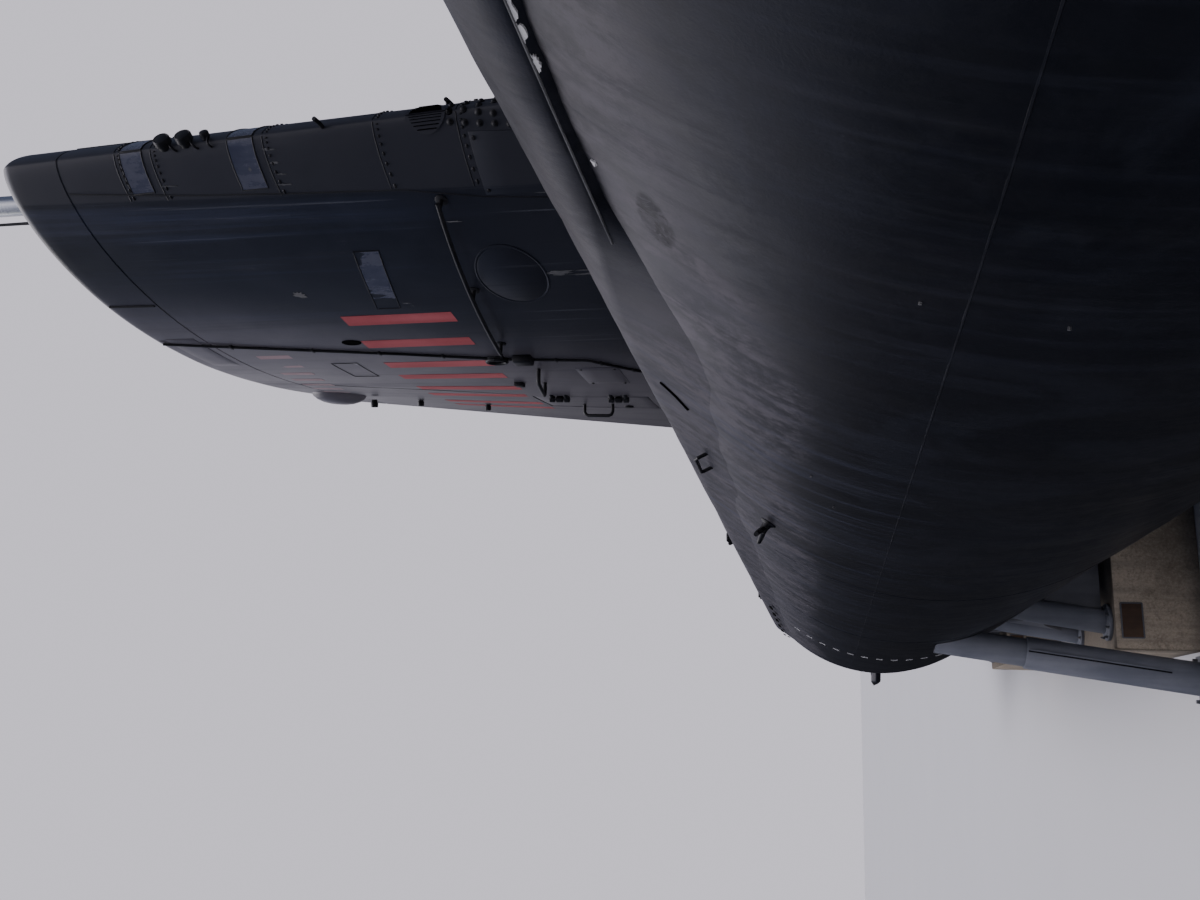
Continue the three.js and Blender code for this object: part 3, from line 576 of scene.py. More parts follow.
def sail_wall(turn, height, inset=0.0):
    front, back, half = sail_level(height)
    chord_share = min(1.0, max(0.0, (1 - math.cos(turn)) / 2))
    y = math.copysign((half - inset) * wing(chord_share) / WING_PEAK, math.sin(turn))
    return (mix(front - inset, back + inset, chord_share), y, height)


def sail_point(turn, height, out=0.0):
    step = 0.01
    x, y, _ = sail_wall(turn, height)
    x0, y0, _ = sail_wall(turn - step, height)
    x1, y1, _ = sail_wall(turn + step, height)
    along = Vector((x1 - x0, y1 - y0)).normalized()
    return (x + out * along.y, y - out * along.x, height)


def sail_turn(x, height, side):
    front, back, _ = sail_level(height)
    return side * math.acos(1 - 2 * share(x, front, back))


def sail_flank(side):
    return lambda x, height, out=0.0: sail_point(sail_turn(x, height, side), height, out)


def hull_flank(side):
    def place(x, height, out=0.0):
        _, top, bottom, middle = hull_lines(x)
        angle = math.asin((height - middle) / (top if height > middle else bottom))
        return hull_point(x, angle if side == PORT else math.pi - angle, out)

    return place


def deck(x, y, out=0.0):
    width = casing_point(x, 0.0)[1]
    return casing_point(x, math.acos(y / width), out)


print(
    "sail is", round(2 * sail_level(4)[2], 2), "m wide and", round(sail_level(4)[0] - sail_level(4)[1], 2),
    "m long"
)

# %% [markdown]
# ## Mesh kit
# A few makers shape almost everything: `skin` closes rows of points into a solid, `turned` spins a profile round a
# line, `run` sweeps a round bar along points, and `plate` lays a thin slab over a curved surface. Each could be a
# primitive with modifiers, but points that are computed from the boat's own lines sit exactly on them. Real edges
# are never sharp, so a bevel is cut where faces meet at a steep angle.


# %% Pieces
def shape_of(name, points, faces):
    mesh = bpy.data.meshes.new(name)
    mesh.from_pydata([at(*p) for p in points], [], faces)
    thing = bpy.data.objects.new(name, mesh)
    bpy.context.scene.collection.objects.link(thing)
    return thing


def tidy(thing, crisp=35, bevel=0.0):
    shape = bmesh.new()
    shape.from_mesh(thing.data)
    bmesh.ops.remove_doubles(shape, verts=shape.verts, dist=1e-6)
    bmesh.ops.recalc_face_normals(shape, faces=shape.faces)
    if bevel:
        steep = [e for e in shape.edges if len(e.link_faces) == 2 and e.calc_face_angle(0.0) > math.radians(40)]
        bmesh.ops.bevel(
            shape, geom=steep, offset=size(bevel), segments=2, profile=0.5, affect="EDGES", clamp_overlap=True
        )
    for face in shape.faces:
        face.smooth = True
    for edge in shape.edges:
        edge.smooth = len(edge.link_faces) == 2 and edge.calc_face_angle(0.0) < math.radians(crisp)
    shape.to_mesh(thing.data)
    shape.free()


def piece(name, points, faces, finish, body="boat", slot="black", crisp=35, bevel=0.0):
    thing = shape_of(name, points, faces)
    thing.data.materials.append(finish)
    tidy(thing, crisp, bevel)
    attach(thing, body)
    return thing


def grid_faces(rows, columns, capped=True, closed_round=True):
    faces = []
    for r in range(rows - 1):
        for c in range(columns if closed_round else columns - 1):
            d = (c + 1) % columns
            faces.append((r * columns + c, r * columns + d, (r + 1) * columns + d, (r + 1) * columns + c))
    if capped:
        faces.append(tuple(range(columns)))
        faces.append(tuple(range((rows - 1) * columns, rows * columns)))
    return faces


def skin(name, rows, finish, **options):
    points = [p for row in rows for p in row]
    return piece(name, points, grid_faces(len(rows), len(rows[0])), finish, **options)


# %% Turned and bent pieces
def around(way):
    way = Vector(way).normalized()
    side = way.orthogonal().normalized()
    return side, way.cross(side), way


def ring_points(centre, side, other, radius, sides):
    turns = [k / sides * math.tau for k in range(sides)]
    return [tuple(Vector(centre) + (side * math.cos(a) + other * math.sin(a)) * radius) for a in turns]


def turned_rows(profile, foot, way, sides):
    side, other, way = around(way)
    return [ring_points(Vector(foot) + way * height, side, other, radius, sides) for radius, height in profile]


def turned(name, profile, foot, way, finish, sides=40, **options):
    return skin(name, turned_rows(profile, foot, way, sides), finish, **options)


def rod(name, start, end, radius, finish, sides=20, round_off=0.2, **options):
    length = (Vector(end) - Vector(start)).length
    edge = radius * round_off
    profile = [(radius - edge, 0), (radius, edge), (radius, length - edge), (radius - edge, length)]
    return turned(name, profile, start, Vector(end) - Vector(start), finish, sides, **options)


def run_rows(path, radius, sides, flat=1.0):
    path = [Vector(p) for p in path]
    rows = []
    side = None
    for k, point in enumerate(path):
        way = (path[min(k + 1, len(path) - 1)] - path[max(k - 1, 0)]).normalized()
        side = way.orthogonal() if side is None else side
        side = (side - way * side.dot(way)).normalized()
        rows.append(ring_points(point, side, way.cross(side) * flat, radius, sides))
    return rows


def run(name, path, radius, finish, sides=12, **options):
    return skin(name, run_rows(path, radius, sides), finish, **options)


def smooth_path(points, steps=6):
    points = [Vector(p) for p in points]
    out = []
    for k in range(len(points) - 1):
        a, b, c, d = (points[min(max(k + j, 0), len(points) - 1)] for j in (-1, 0, 1, 2))
        for s in range(steps):
            t = s / steps
            bent = (2 * a - 5 * b + 4 * c - d) * t**2 + (3 * b - a - 3 * c + d) * t**3
            out.append(tuple(0.5 * (2 * b + (c - a) * t + bent)))
    return out + [tuple(points[-1])]


# %% Plates and discs laid on a surface
def plate_rows(surface, us, vs, low, high):
    top = [[surface(u, v, high) for v in vs] for u in us]
    bottom = [[surface(u, v, low) for v in vs] for u in us]
    return top, bottom


def slab_mesh(top, bottom):
    across, along = len(top[0]), len(top)
    points = [p for row in top for p in row] + [p for row in bottom for p in row]
    half = across * along
    faces = grid_faces(along, across, capped=False, closed_round=False)
    faces += [
        tuple(half + k
        for k in reversed(f)) for f in grid_faces(along, across, capped=False, closed_round=False)
    ]
    rim = list(range(across)) + [r * across + across - 1 for r in range(1, along)]
    rim += [
        (along - 1) * across + c for c in range(across - 2, -1, -1)
    ] + [r * across for r in range(along - 2, 0, -1)]
    for k, start in enumerate(rim):
        end = rim[(k + 1) % len(rim)]
        faces.append((start, end, half + end, half + start))
    return points, faces


def plate(name, surface, us, vs, thick, finish, sunk=0.012, bevel=0.004, **options):
    points, faces = slab_mesh(*plate_rows(surface, us, vs, -sunk, thick))
    return piece(name, points, faces, finish, bevel=bevel, **options)


def disc(name, surface, centre, profile, finish, sides=40, squash=1.0, **options):
    rows = []
    for radius, out in profile:
        turns = [k / sides * math.tau for k in range(sides)]
        places = [(centre[0] + radius * math.cos(a), centre[1] + radius * squash * math.sin(a)) for a in turns]
        rows.append([surface(u, v, out) for u, v in places])
    return skin(name, rows, finish, **options)


def block_mesh(low, high):
    corners = [(x, y, z) for x in (low[0], high[0]) for y in (low[1], high[1]) for z in (low[2], high[2])]
    return corners, [(0, 1, 3, 2), (4, 6, 7, 5), (0, 4, 5, 1), (2, 3, 7, 6), (0, 2, 6, 4), (1, 5, 7, 3)]


def block(name, low, high, finish, **options):
    return piece(name, *block_mesh(low, high), finish, **options)


# %% Cutting and joining
def combine(thing, others, how, crisp=35):
    for other in others:
        step = thing.modifiers.new(how, "BOOLEAN")
        step.operation = how
        step.object = other
        step.solver = "EXACT"
    view = bpy.context.evaluated_depsgraph_get()
    result = bpy.data.meshes.new_from_object(thing.evaluated_get(view))
    thing.modifiers.clear()
    thing.data = result
    for other in others:
        bpy.data.objects.remove(other)
    tidy(thing, crisp)
    return thing


def cutter(rows):
    thing = shape_of("cutter", [p for row in rows for p in row], grid_faces(len(rows), len(rows[0])))
    tidy(thing)
    return thing


def round_cutter(foot, top, radius, sides=48):
    length = (Vector(top) - Vector(foot)).length
    return cutter(turned_rows([(radius, 0), (radius, length)], foot, Vector(top) - Vector(foot), sides))


def plate_cutter(surface, us, vs, low, high):
    thing = shape_of("cutter", *slab_mesh(*plate_rows(surface, us, vs, low, high)))
    tidy(thing)
    return thing


print("mesh kit ready")

# %% [markdown]
# ## Hull skins
# The hull's plates look smooth until light glances along them, and then every frame and weld shows as a shallow
# dent. A shader's bump can't change an outline, so the dents are in the mesh: the skin is moved in and out by a few
# millimetres of smooth noise that depends on the place alone, which keeps neighbouring sections in step.

# %% Hull
SEAM = 0.0003 / SCALE
HULL_SIDES = 176
FRAME_SPACING = 0.62


def dent(x, y, z, depth):
    broad = noise.noise(Vector((x * 0.55, y * 0.5, z * 0.5)))
    near = noise.noise(Vector((x * 1.3, y, z)))
    shoulder = share(x, 8.5, 10.5) * share(14.0 - x, 0, 1.5) * share(z, 0.9, 1.7)
    buckled = shoulder * noise.noise(Vector((x * 3, y * 3, z * 3)))
    frames = 0.14 * math.cos(x / FRAME_SPACING * math.tau) * (0.6 + near)
    return depth * (broad + 0.5 * near + 0.9 * buckled + frames)


def hull_inset(x, angle):
    return (dent(*hull_point(x, angle), 0.011) - 0.008) * share(HALF_LENGTH - 0.3 - x, 0.0, 1.5)


def hull_rows(stations, cut):
    rows = []
    for x in stations:
        row = []
        for k in range(HULL_SIDES):
            angle = k / HULL_SIDES * math.tau
            px, py, pz = hull_point(x, angle, hull_inset(x, angle))
            row.append((px, py, min(pz, foot_height(x)) if cut else pz))
        rows.append(row)
    return rows


HULL_SECTIONS = {
    "hull_tail": (spaced(TAIL_END, CASING_AFT_END - SEAM, 60), False),
    "hull_after": (spaced(CASING_AFT_END + SEAM, STERN_START - SEAM, 48), True),
    "hull_midbody": (spaced(STERN_START + SEAM, 4 - SEAM, 60), True),
    "hull_forward": (spaced(4 + SEAM, BOW_START, 70) + spaced(BOW_START, CASING_FORE_END - SEAM, 72)[1:], True),
    "hull_bow": (crowded(CASING_FORE_END + SEAM, HALF_LENGTH, 48), False),
}
for name, (stations, cut) in HULL_SECTIONS.items():
    section = skin(name + "_skin", hull_rows(stations, cut), HULL_PAINT, slot="hull")
    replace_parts(section, name)
    print(name, len(section.data.polygons), "faces")

# %% [markdown]
# ## Casing
# The casing is thin plate over the hull's crown. Its foot is faired into the hull's shoulder by a concave fillet,
# which runs out ahead of the sail and leaves a crease there. The hatches need real holes, so round cutters go
# through the skin, and a coaming, turned in one profile with its well, lines each hole.

# %% Casing
HATCHES = {"forward": 13.4, "aft": -8.2}
HATCH_RADIUS, WELL_RADIUS, WELL_DEPTH = 0.44, 0.32, 0.68
COAMING_HEIGHT = 0.14
FAIRING_FROM, FAIRING_TO = 11.2, 9.2
BOW_FAIRING_FROM, BOW_FAIRING_TO = 14.0, 17.0
FAIRING_REACH, FAIRING_TURN = 0.15, 0.42


def hatch_seat(x):
    return deck_height(x - HATCH_RADIUS) + COAMING_HEIGHT


def casing_section(x, sides=84, fillet_steps=9):
    faired = max(share(x, FAIRING_FROM, FAIRING_TO), share(x, BOW_FAIRING_FROM, BOW_FAIRING_TO))
    reach = mix(0.012, FAIRING_REACH, faired)
    turn = mix(0.05, FAIRING_TURN, faired)
    crown = [
        casing_point(x, a, dent(*casing_point(x, a), 0.008) - 0.004)
        for a in spaced(turn, math.pi - turn, sides)
    ]
    fillets = []
    for side, end in ((PORT, crown[0]), (STARBOARD, crown[-1])):
        angle = FOOT_ANGLE - reach
        toe = hull_point(x, angle, hull_inset(x, angle if side == PORT else math.pi - angle) - 0.004)
        crease = (x, casing_point(x, 0.0)[1] - 0.01 * faired, foot_height(x))
        curve = []
        for t in spaced(0, 1, fillet_steps)[:-1]:
            y = mix(mix(toe[1], crease[1], t), mix(crease[1], abs(end[1]), t), t)
            z = mix(mix(toe[2], crease[2], t), mix(crease[2], end[2], t), t)
            curve.append((x, side * y, z))
        fillets.append(curve)
    _, wide, low = fillets[0][0]
    under = [(x, y, min(low, foot_height(x)) - 0.03) for y in spaced(-wide + 0.05, wide - 0.05, 6)]
    return fillets[0] + crown + fillets[1][::-1] + under


CASING_STATIONS = {
    "forward": [4 + SEAM] + spaced(4.1, CASING_FORE_END - SEAM, 170),
    "aft": spaced(CASING_AFT_END + SEAM, 4 - SEAM, 200),
}
for key, stations in CASING_STATIONS.items():
    x = HATCHES[key]
    casing = skin(
        "casing_" + key + "_skin", [casing_section(at_x) for at_x in stations], DECK_PAINT, slot="casing"
    )
    seat = hatch_seat(x)
    hole = round_cutter((x, 0, seat - WELL_DEPTH - 0.02), (x, 0, seat + 1), WELL_RADIUS + 0.027)
    combine(casing, [hole], "DIFFERENCE")
    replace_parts(casing, "casing_" + key)
    profile = [
        (0, -WELL_DEPTH), (
            WELL_RADIUS + 0.025, -WELL_DEPTH
        ), (WELL_RADIUS + 0.025, -0.22), (HATCH_RADIUS, -0.22),
        (HATCH_RADIUS, -0.012), (HATCH_RADIUS - 0.012, 0), (WELL_RADIUS + 0.03, 0), (WELL_RADIUS + 0.02, 0.006),
        (WELL_RADIUS, -0.01), (WELL_RADIUS, -WELL_DEPTH + 0.03), (0, -WELL_DEPTH + 0.03),
    ]
    turned("coaming_" + key, profile, (x, 0, seat), (0, 0, 1), DECK_PAINT, 64, slot="casing")
    print("casing", key, len(casing.data.polygons), "faces, hatch seat at", round(seat, 3))

# %% [markdown]
# ## Hatch lids
# A lid is a forged disc with a raised crown, a locking wheel and one hinge. The wheel has spokes and a hub, each a
# swept bar. All of it rides the lid's own body, so it swings when the joint opens, while the pin stays on the boat.

# %% Hatch lids
LID_RADIUS, LID_THICK, LID_HINGE = 0.42, 0.07, 0.56
KNUCKLE, PIN = 0.036, 0.014
ARM = KNUCKLE * 0.7
WHEEL_RADIUS, WHEEL_LIFT, WHEEL_SPOKES = 0.17, 0.062, 3
RIM_BAR, HUB_BAR, SPOKE_BAR = 0.013, 0.035, 0.009


def ring_path(centre, radius, count=36):
    return [
        (centre[0] + radius * math.cos(a), centre[1] + radius * math.sin(a), centre[2])
        for a in (k / count * math.tau for k in range(count + 1))
    ]


for key, x in HATCHES.items():
    body = "hatch_" + key + "_lid"
    seat = hatch_seat(x) + SEAM
    profile = [
        (0, 0), (LID_RADIUS - 0.012, 0), (LID_RADIUS, 0.012), (LID_RADIUS, LID_THICK - 0.014),
        (LID_RADIUS - 0.014, LID_THICK), (0.35, LID_THICK), (0.34, LID_THICK + 0.006), (0.29, LID_THICK + 0.028),
        (0.22, LID_THICK + 0.044), (0.1, LID_THICK + 0.05), (0, LID_THICK + 0.051),
    ]
    lid = turned(body + "_disc", profile, (x, 0, seat), (0, 0, 1), DECK_PAINT, 64, body=body, slot="casing")
    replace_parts(lid, body)
    wheel = seat + LID_THICK + WHEEL_LIFT
    run(body + "_wheel_rim", ring_path((x, 0, wheel), WHEEL_RADIUS), RIM_BAR, BLACK_PAINT, 10, body=body)
    rod(body + "_wheel_hub", (x, 0, seat + LID_THICK), (x, 0, wheel + 0.012), HUB_BAR, BLACK_PAINT, body=body)
    for k in range(WHEEL_SPOKES):
        turn = k / WHEEL_SPOKES * math.tau
        end = (x + WHEEL_RADIUS * math.cos(turn), WHEEL_RADIUS * math.sin(turn), wheel)
        rod(body + f"_wheel_spoke_{k}", (x, 0, wheel), end, SPOKE_BAR, BLACK_PAINT, 10, body=body)
    height = hatch_seat(x) + LID_THICK / 2
    pin = [(x + LID_HINGE, y, height) for y in (-0.16, 0.16)]
    rod("hatch_" + key + "_hinge_pin", *pin, PIN, BOLT_STEEL)
    knuckle = [(x + LID_HINGE, y, height) for y in (-0.05, 0.05)]
    rod(body + "_knuckle", *knuckle, KNUCKLE, BLACK_PAINT, 28, body=body)
    rod(body + "_arm", (x + LID_HINGE, 0, height), (x + 0.34, 0, height), ARM, BLACK_PAINT, 16, body=body)
    for side_name, side in SIDES.items():
        y = side * 0.11
        ends = [(x + LID_HINGE, y - 0.04, height), (x + LID_HINGE, y + 0.04, height)]
        rod(f"hatch_{key}_fixed_knuckle_{side_name}", *ends, KNUCKLE, BLACK_PAINT, 28)
        foot = (x + LID_HINGE - 0.12, y, height - 0.2)
        rod(f"hatch_{key}_fixed_arm_{side_name}", (x + LID_HINGE, y, height), foot, ARM, BLACK_PAINT, 16)
print("hatch lids made")

# %% [markdown]
# ## Seams, rings and marks on the hull
# Shipyards weld long plates into strakes and rings, and grind the weld almost flush. A thin bar, swept along the
# surface and nearly sunk in it, gives that edge for the light to catch. White paint marks one ring aft with dashes,
# and each is a thin plate laid on the skin.

# %% Welds and dashes
GIRTH_WELDS = [-17.2, -13.3, -9.5, -1.2, 4.0, 15.4, 18.6, 21.2]
STRAKES = {"upper": (0.65, -16, 20), "lower": (-1.55, -14, 18)}
WELD = 0.008
DASH_RING, DASH_THICK = [-5.3, -5.24], 0.002
DASHES, DASH_TOP, DASH_STEP, DASH_TURN = 24, 36, 5.1, 2.2


def girth_path(x, out):
    top_angle = FOOT_ANGLE - FAIRING_REACH if CASING_AFT_END <= x <= CASING_FORE_END else math.pi / 2
    return [hull_point(x, a, hull_inset(x, a) + out) for a in spaced(top_angle, -math.pi - top_angle, 150)]


def flank_path(side, height, stations, out):
    path = []
    for x in stations:
        _, top, bottom, middle = hull_lines(x)
        angle = math.asin((height - middle) / (top if height > middle else bottom))
        angle = angle if side == PORT else math.pi - angle
        path.append(hull_point(x, angle, hull_inset(x, angle) + out))
    return path


for k, x in enumerate(GIRTH_WELDS):
    run(f"girth_weld_{k}", girth_path(x, -0.0045), WELD, HULL_PAINT, 8, slot="hull")
for side_name, side in SIDES.items():
    for level, (height, start, end) in STRAKES.items():
        path = flank_path(side, height, spaced(start, end, 180), -0.0068)
        run(f"strake_weld_{level}_{side_name}", path, WELD, HULL_PAINT, 8, slot="hull")
    for k in range(DASHES):
        angle = math.radians(DASH_TOP - DASH_STEP * k)
        turn = angle if side == PORT else math.pi - angle
        dash = [turn, turn + math.radians(DASH_TURN)]
        plate(
            f"ring_dash_{side_name}_{k}", hull_point, DASH_RING, dash, DASH_THICK, PRIMER, bevel=0.0,
            slot="hull"
        )
print(len(GIRTH_WELDS), "girth welds and two strakes a side")

# %% [markdown]
# Ahead of the sail the white primer shows through at the casing's crease, and a few small chips mark the flank.
# Each is a flat flake with a ragged outline, drawn by a seeded random walk round a circle, so every run gives the
# same flakes. The crease itself carries a thin pale line: a painted highlight where its edge catches the light.

# %% Crease highlight and chips
chance = random.Random(36)
HULL_CHIPS = 7
CREASE_CHIPS = [(12.42, 1.98, 0.09, 0.014), (12.27, 1.985, 0.06, 0.018), (12.12, 1.97, 0.04, 0.012)]
CHIPPED_X, CHIPPED_Y, CHIPPED_Z, CHIPPED_SLOPE = 12.33, 2.157, 1.97, 0.24


def flake(name, surface, u, v, wide, tall, finish, ragged=0.45, sides=22, thick=0.0025, **options):
    rim = []
    for k in range(sides):
        turn = k / sides * math.tau
        reach = 1 + ragged * (chance.random() - 0.5) * 2
        rim.append((u + wide * reach * math.cos(turn), v + tall * reach * math.sin(turn)))
    rows = [[surface(a, b, out) for a, b in rim] for out in (-0.01, thick)]
    return skin(name, rows, finish, **options)


# A thin pale line along each crease: a painted highlight where its edge catches the light.
for side_name, side in SIDES.items():
    crease = [
        (x, side * (casing_point(x, 0.0)[1] - 0.004), foot_height(x) + 0.012) for x in spaced(10.8, 13.6, 60)
    ]
    run("rubbed_crease_" + side_name, crease, 0.0055, PALE_WEAR_AND_HIGHLIGHT, 8, slot="casing")


def crease_wall(x, z, out):
    narrower = casing_point(CHIPPED_X, 0.0)[1] - casing_point(x, 0.0)[1]
    return (x, -CHIPPED_Y - out + narrower + (z - CHIPPED_Z) * CHIPPED_SLOPE, z)


for k, (x, z, wide, tall) in enumerate(CREASE_CHIPS):
    flake(f"primer_chip_{k}", crease_wall, x, z, wide, tall, PRIMER, slot="casing")
flake("small_primer_chip", hull_flank(STARBOARD), 11.516, 1.915, 0.02, 0.009, PRIMER, slot="casing")
for k in range(HULL_CHIPS):
    x, z = chance.uniform(7, 13.5), chance.uniform(-1.2, 1.5)
    wide, tall = chance.uniform(0.004, 0.008), chance.uniform(0.004, 0.007)
    flake(f"hull_chip_{k}", hull_flank(STARBOARD), x, z, wide, tall, PALE_WEAR_AND_HIGHLIGHT, slot="hull")
print("flakes placed with a seeded draw")

# %% [markdown]
# ## Sail
# The sail is one skin from its foot to the rounded top edge. Its cap is a separate plate on the real boat, so the
# skin steps in for a narrow groove at the joint. The bridge, the mast wells and the door's recess are cut out with
# cutters made from the same surface functions, which keeps every wall parallel to the skin.

# %% Sail skin
BRIDGE = {"front": 7.1, "back": 6.1, "half": 0.45, "floor": 5.8}
DOOR = {"front": 3.25, "back": 2.35, "low": 3.1, "high": 4.45, "thick": 0.07}
SWING = 0.007 / SCALE
RUNNING = 0.0006 / SCALE
MASTS = {
    "periscope_attack": {"x": 7.62, "radius": 0.0875, "low": 3.0, "down": 1.2},
    "periscope_search": {"x": 5.6, "radius": 0.11, "low": 3.0, "down": 0},
    "radar_mast": {"x": 4.75, "radius": 0.1, "low": 3.0, "down": 0},
    "snorkel_mast": {"x": 3.85, "radius": 0.15, "low": 3.0, "down": 0},
    "antenna_mast": {"x": 2.95, "radius": 0.05, "low": 3.0, "down": 0},
}
ABOVE_SAIL = 9


def sail_rows(sides=240, round_steps=8):
    shoulder = SAIL_TOP["height"] - SAIL_EDGE
    groove = [
        (CAP_JOINT - 0.012, 0), (CAP_JOINT - 0.008, 0.009), (CAP_JOINT + 0.004, 0.009), (CAP_JOINT + 0.008, 0)
    ]
    levels = [(h, 0.0) for h in spaced(SAIL_FOOT["height"], CAP_JOINT - 0.08, 44)] + groove
    levels += [(h, 0.0) for h in spaced(CAP_JOINT + 0.08, shoulder, 4)]
    for k in range(1, round_steps + 1):
        turn = k / round_steps * math.pi / 2
        levels.append((shoulder + SAIL_EDGE * math.sin(turn), SAIL_EDGE * (1 - math.cos(turn))))
    rows = []
    for height, inset in levels:
        row = []
        for k in range(sides):
            x, y, z = sail_wall(k / sides * math.tau, height, inset)
            wave = 0.006 * noise.noise(Vector((x * 1.1, y, z * 0.9))) * min(1.0, abs(y) * 3)
            row.append((x, y + math.copysign(wave, y) if y else y, z))
        rows.append(row)
    return rows


sail = skin("sail_skin", sail_rows(), SAIL_PAINT, slot="sail")
wells = [
    round_cutter((m["x"], 0, m["low"] - m["down"] - 0.02), (m["x"], 0, ABOVE_SAIL), m["radius"] + RUNNING)
    for m in MASTS.values()
]
bridge_low = (BRIDGE["back"], -BRIDGE["half"], BRIDGE["floor"])
bridge = shape_of("cutter", *block_mesh(bridge_low, (BRIDGE["front"], BRIDGE["half"], ABOVE_SAIL)))
tidy(bridge)
starboard = sail_flank(STARBOARD)
door_us = spaced(DOOR["back"] - SWING, DOOR["front"] + SWING, 14)
door_vs = spaced(DOOR["low"] - SWING, DOOR["high"] + SWING, 12)
recess = plate_cutter(starboard, door_us, door_vs, -DOOR["thick"] - 0.02, 0.2)
combine(sail, [*wells, bridge, recess], "DIFFERENCE")
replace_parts(sail, "sail_tower", "sail_cap")
print("sail", len(sail.data.polygons), "faces")

# %% [markdown]
# ## Welds, plates and windows on the sail
# The sail's own drawing shows a welded seam behind the nose, a cable that climbs it a third of the way aft, and
# plates and windows let into the skin. All are laid on the skin with the makers above, so they follow its curve.

# %% Sail seams
def sail_line(side, stations, out, steps=8):
    places = [
        (mix(a[0], b[0], t), mix(a[1], b[1], t))
        for a, b in zip(stations, stations[1:]) for t in spaced(0, 1, steps)[:-1]
    ]
    return [sail_flank(side)(x, z, out) for x, z in places + [stations[-1]]]


def sail_foot(x):
    return deck(x, min(sail_wall(sail_turn(x, 3.0, PORT), 3.0)[1], 1.2))[2]


LEAD_SEAM = [(8.1, 7.02), (8.06, 5.9), (8.04, 5.0), (8.03, 4.2), (7.93, 3.57), (7.89, 3.0), (7.88, 2.62)]
CABLE = [(5.96, 7.5), (5.66, 6.19), (5.42, 5.16), (5.17, 4.23), (5.05, 3.4), (4.62, 2.95), (4.5, 2.66)]
AFT_SEAM = [(4.05, 7.0), (3.75, 5.8), (3.5, 4.9), (3.36, 4.5)]
CABLE_RADIUS, CABLE_OUT, CABLE_CLIPS = 0.013, 0.014, 9
EYE_X, EYE_Z, EYE_BAR = 5.17, 4.3, 0.02
CAP_SLOT = [(6.77, 7.07), (6.78, 7.3), (6.79, 7.52)]
for side_name, side in SIDES.items():
    flank = sail_flank(side)
    beside_cable = [(x + 0.06, y, z) for x, y, z in sail_line(side, CABLE, -0.003)]
    run("nose_seam_" + side_name, sail_line(side, LEAD_SEAM, -0.002), 0.009, SEAM_PAINT, 8, slot="sail")
    run("cable_seam_" + side_name, beside_cable, 0.008, SAIL_PAINT, 8, slot="sail")
    run("aft_seam_" + side_name, sail_line(side, AFT_SEAM, -0.003), 0.008, SEAM_PAINT, 8, slot="sail")
    cable = sail_line(side, CABLE, CABLE_OUT)
    run("cable_" + side_name, smooth_path(cable, 2), CABLE_RADIUS, BLACK_PAINT, 10)
    for k in range(CABLE_CLIPS):
        x, y, z = cable[4 + 5 * k]
        clip_x = spaced(x - 0.032, x + 0.032, 2)
        plate(
            f"cable_clip_{side_name}_{k}", flank, clip_x, [z - 0.014, z + 0.014], 0.03, BLACK_PAINT, bevel=0.006
        )
    eye = [
        flank(EYE_X + 0.07 * math.cos(a), EYE_Z + 0.1 * math.sin(a), 0.035)
        for a in (j / 24 * math.tau for j in range(25))
    ]
    run("cable_eye_" + side_name, eye, EYE_BAR, BLACK_PAINT, 12)
    plate(
        "cable_eye_base_" + side_name, flank, spaced(5.09, 5.25, 3), [4.22, 4.38], 0.03, BLACK_PAINT, bevel=0.01
    )
    plate(
        "cable_junction_" + side_name, flank, spaced(5.1, 5.27, 3), [3.93, 4.12], 0.075, BLACK_PAINT, bevel=0.02
    )
    foot_path = [
        (x, side * (abs(flank(x, 3.0)[1]) + 0.012), sail_foot(x) + 0.012)
        for x in [mix(8.55, -0.05, (1 - math.cos(t * math.pi)) / 2) for t in spaced(0.03, 0.97, 90)]
    ]
    run("sail_foot_weld_" + side_name, foot_path, 0.026, SEAM_PAINT, 10, slot="sail")
    cap_slot = [flank(x, z, 0.002) for x, z in CAP_SLOT]
    run("cap_slot_edge_" + side_name, cap_slot, 0.012, BLACK_PAINT, 8)
print("seams, cables and clips on both sides")


# %% Windows and plates
def window(name, surface, us, z_low, z_high, finish, deep=0.002, rim=0.0055, **options):
    low, high = [z_low(u) for u in us], [z_high(u) for u in us]
    levels = [0.0, 0.25, 0.5, 0.75, 1.0]
    pane = [[surface(u, mix(a, b, t), deep) for t in levels] for u, a, b in zip(us, low, high)]
    under = [[surface(u, mix(a, b, t), -0.03) for t in levels] for u, a, b in zip(us, low, high)]
    piece(name + "_pane", *slab_mesh(pane, under), finish, crisp=40, **options)
    loop = [surface(u, a, deep) for u, a in zip(us, low)]
    loop += [surface(u, b, deep) for u, b in zip(reversed(us), reversed(high))]
    skin(name + "_gasket", run_rows(loop + loop[:2], rim, 8), BLACK_PAINT, **options)


def nose_turns(side, x_back, z, gap, count):
    return spaced(side * gap, sail_turn(x_back, z, side), count)


def at_level(z):
    return lambda x: z


def tilted(z):
    return lambda x: z - 0.17 * (x - 6.51)


NOSE_WINDOWS = {"upper": (6.25, 6.45), "lower": (5.27, 5.49)}
NOSE_JOINTS = (6.17, 6.5, 5.19, 4.28, 3.63)
PLATE_THICK = 0.006
SAIL_PLATES = {
    "nose_access": (spaced(7.95, 8.44, 8), spaced(2.75, 3.56, 4)),
    "cap_hatch": (spaced(5.15, 6.05, 8), spaced(7.12, 7.42, 3)),
    "after_access": (spaced(4.05, 4.75, 6), spaced(3.15, 3.6, 3)),
}
PLATE_BOLTS = [
    (8.4, 3.53), (7.99, 3.53), (7.99, 3.06), (8.4, 3.06), (4.1, 3.2), (4.7, 3.2), (4.1, 3.55), (4.7, 3.55)
]
RIVET = [(0.012, -0.01), (0.012, 0.004), (0.008, 0.009), (0, 0.01)]
BOLT = [(0.016, -0.01), (0.016, 0.01), (0.012, 0.015), (0, 0.015)]
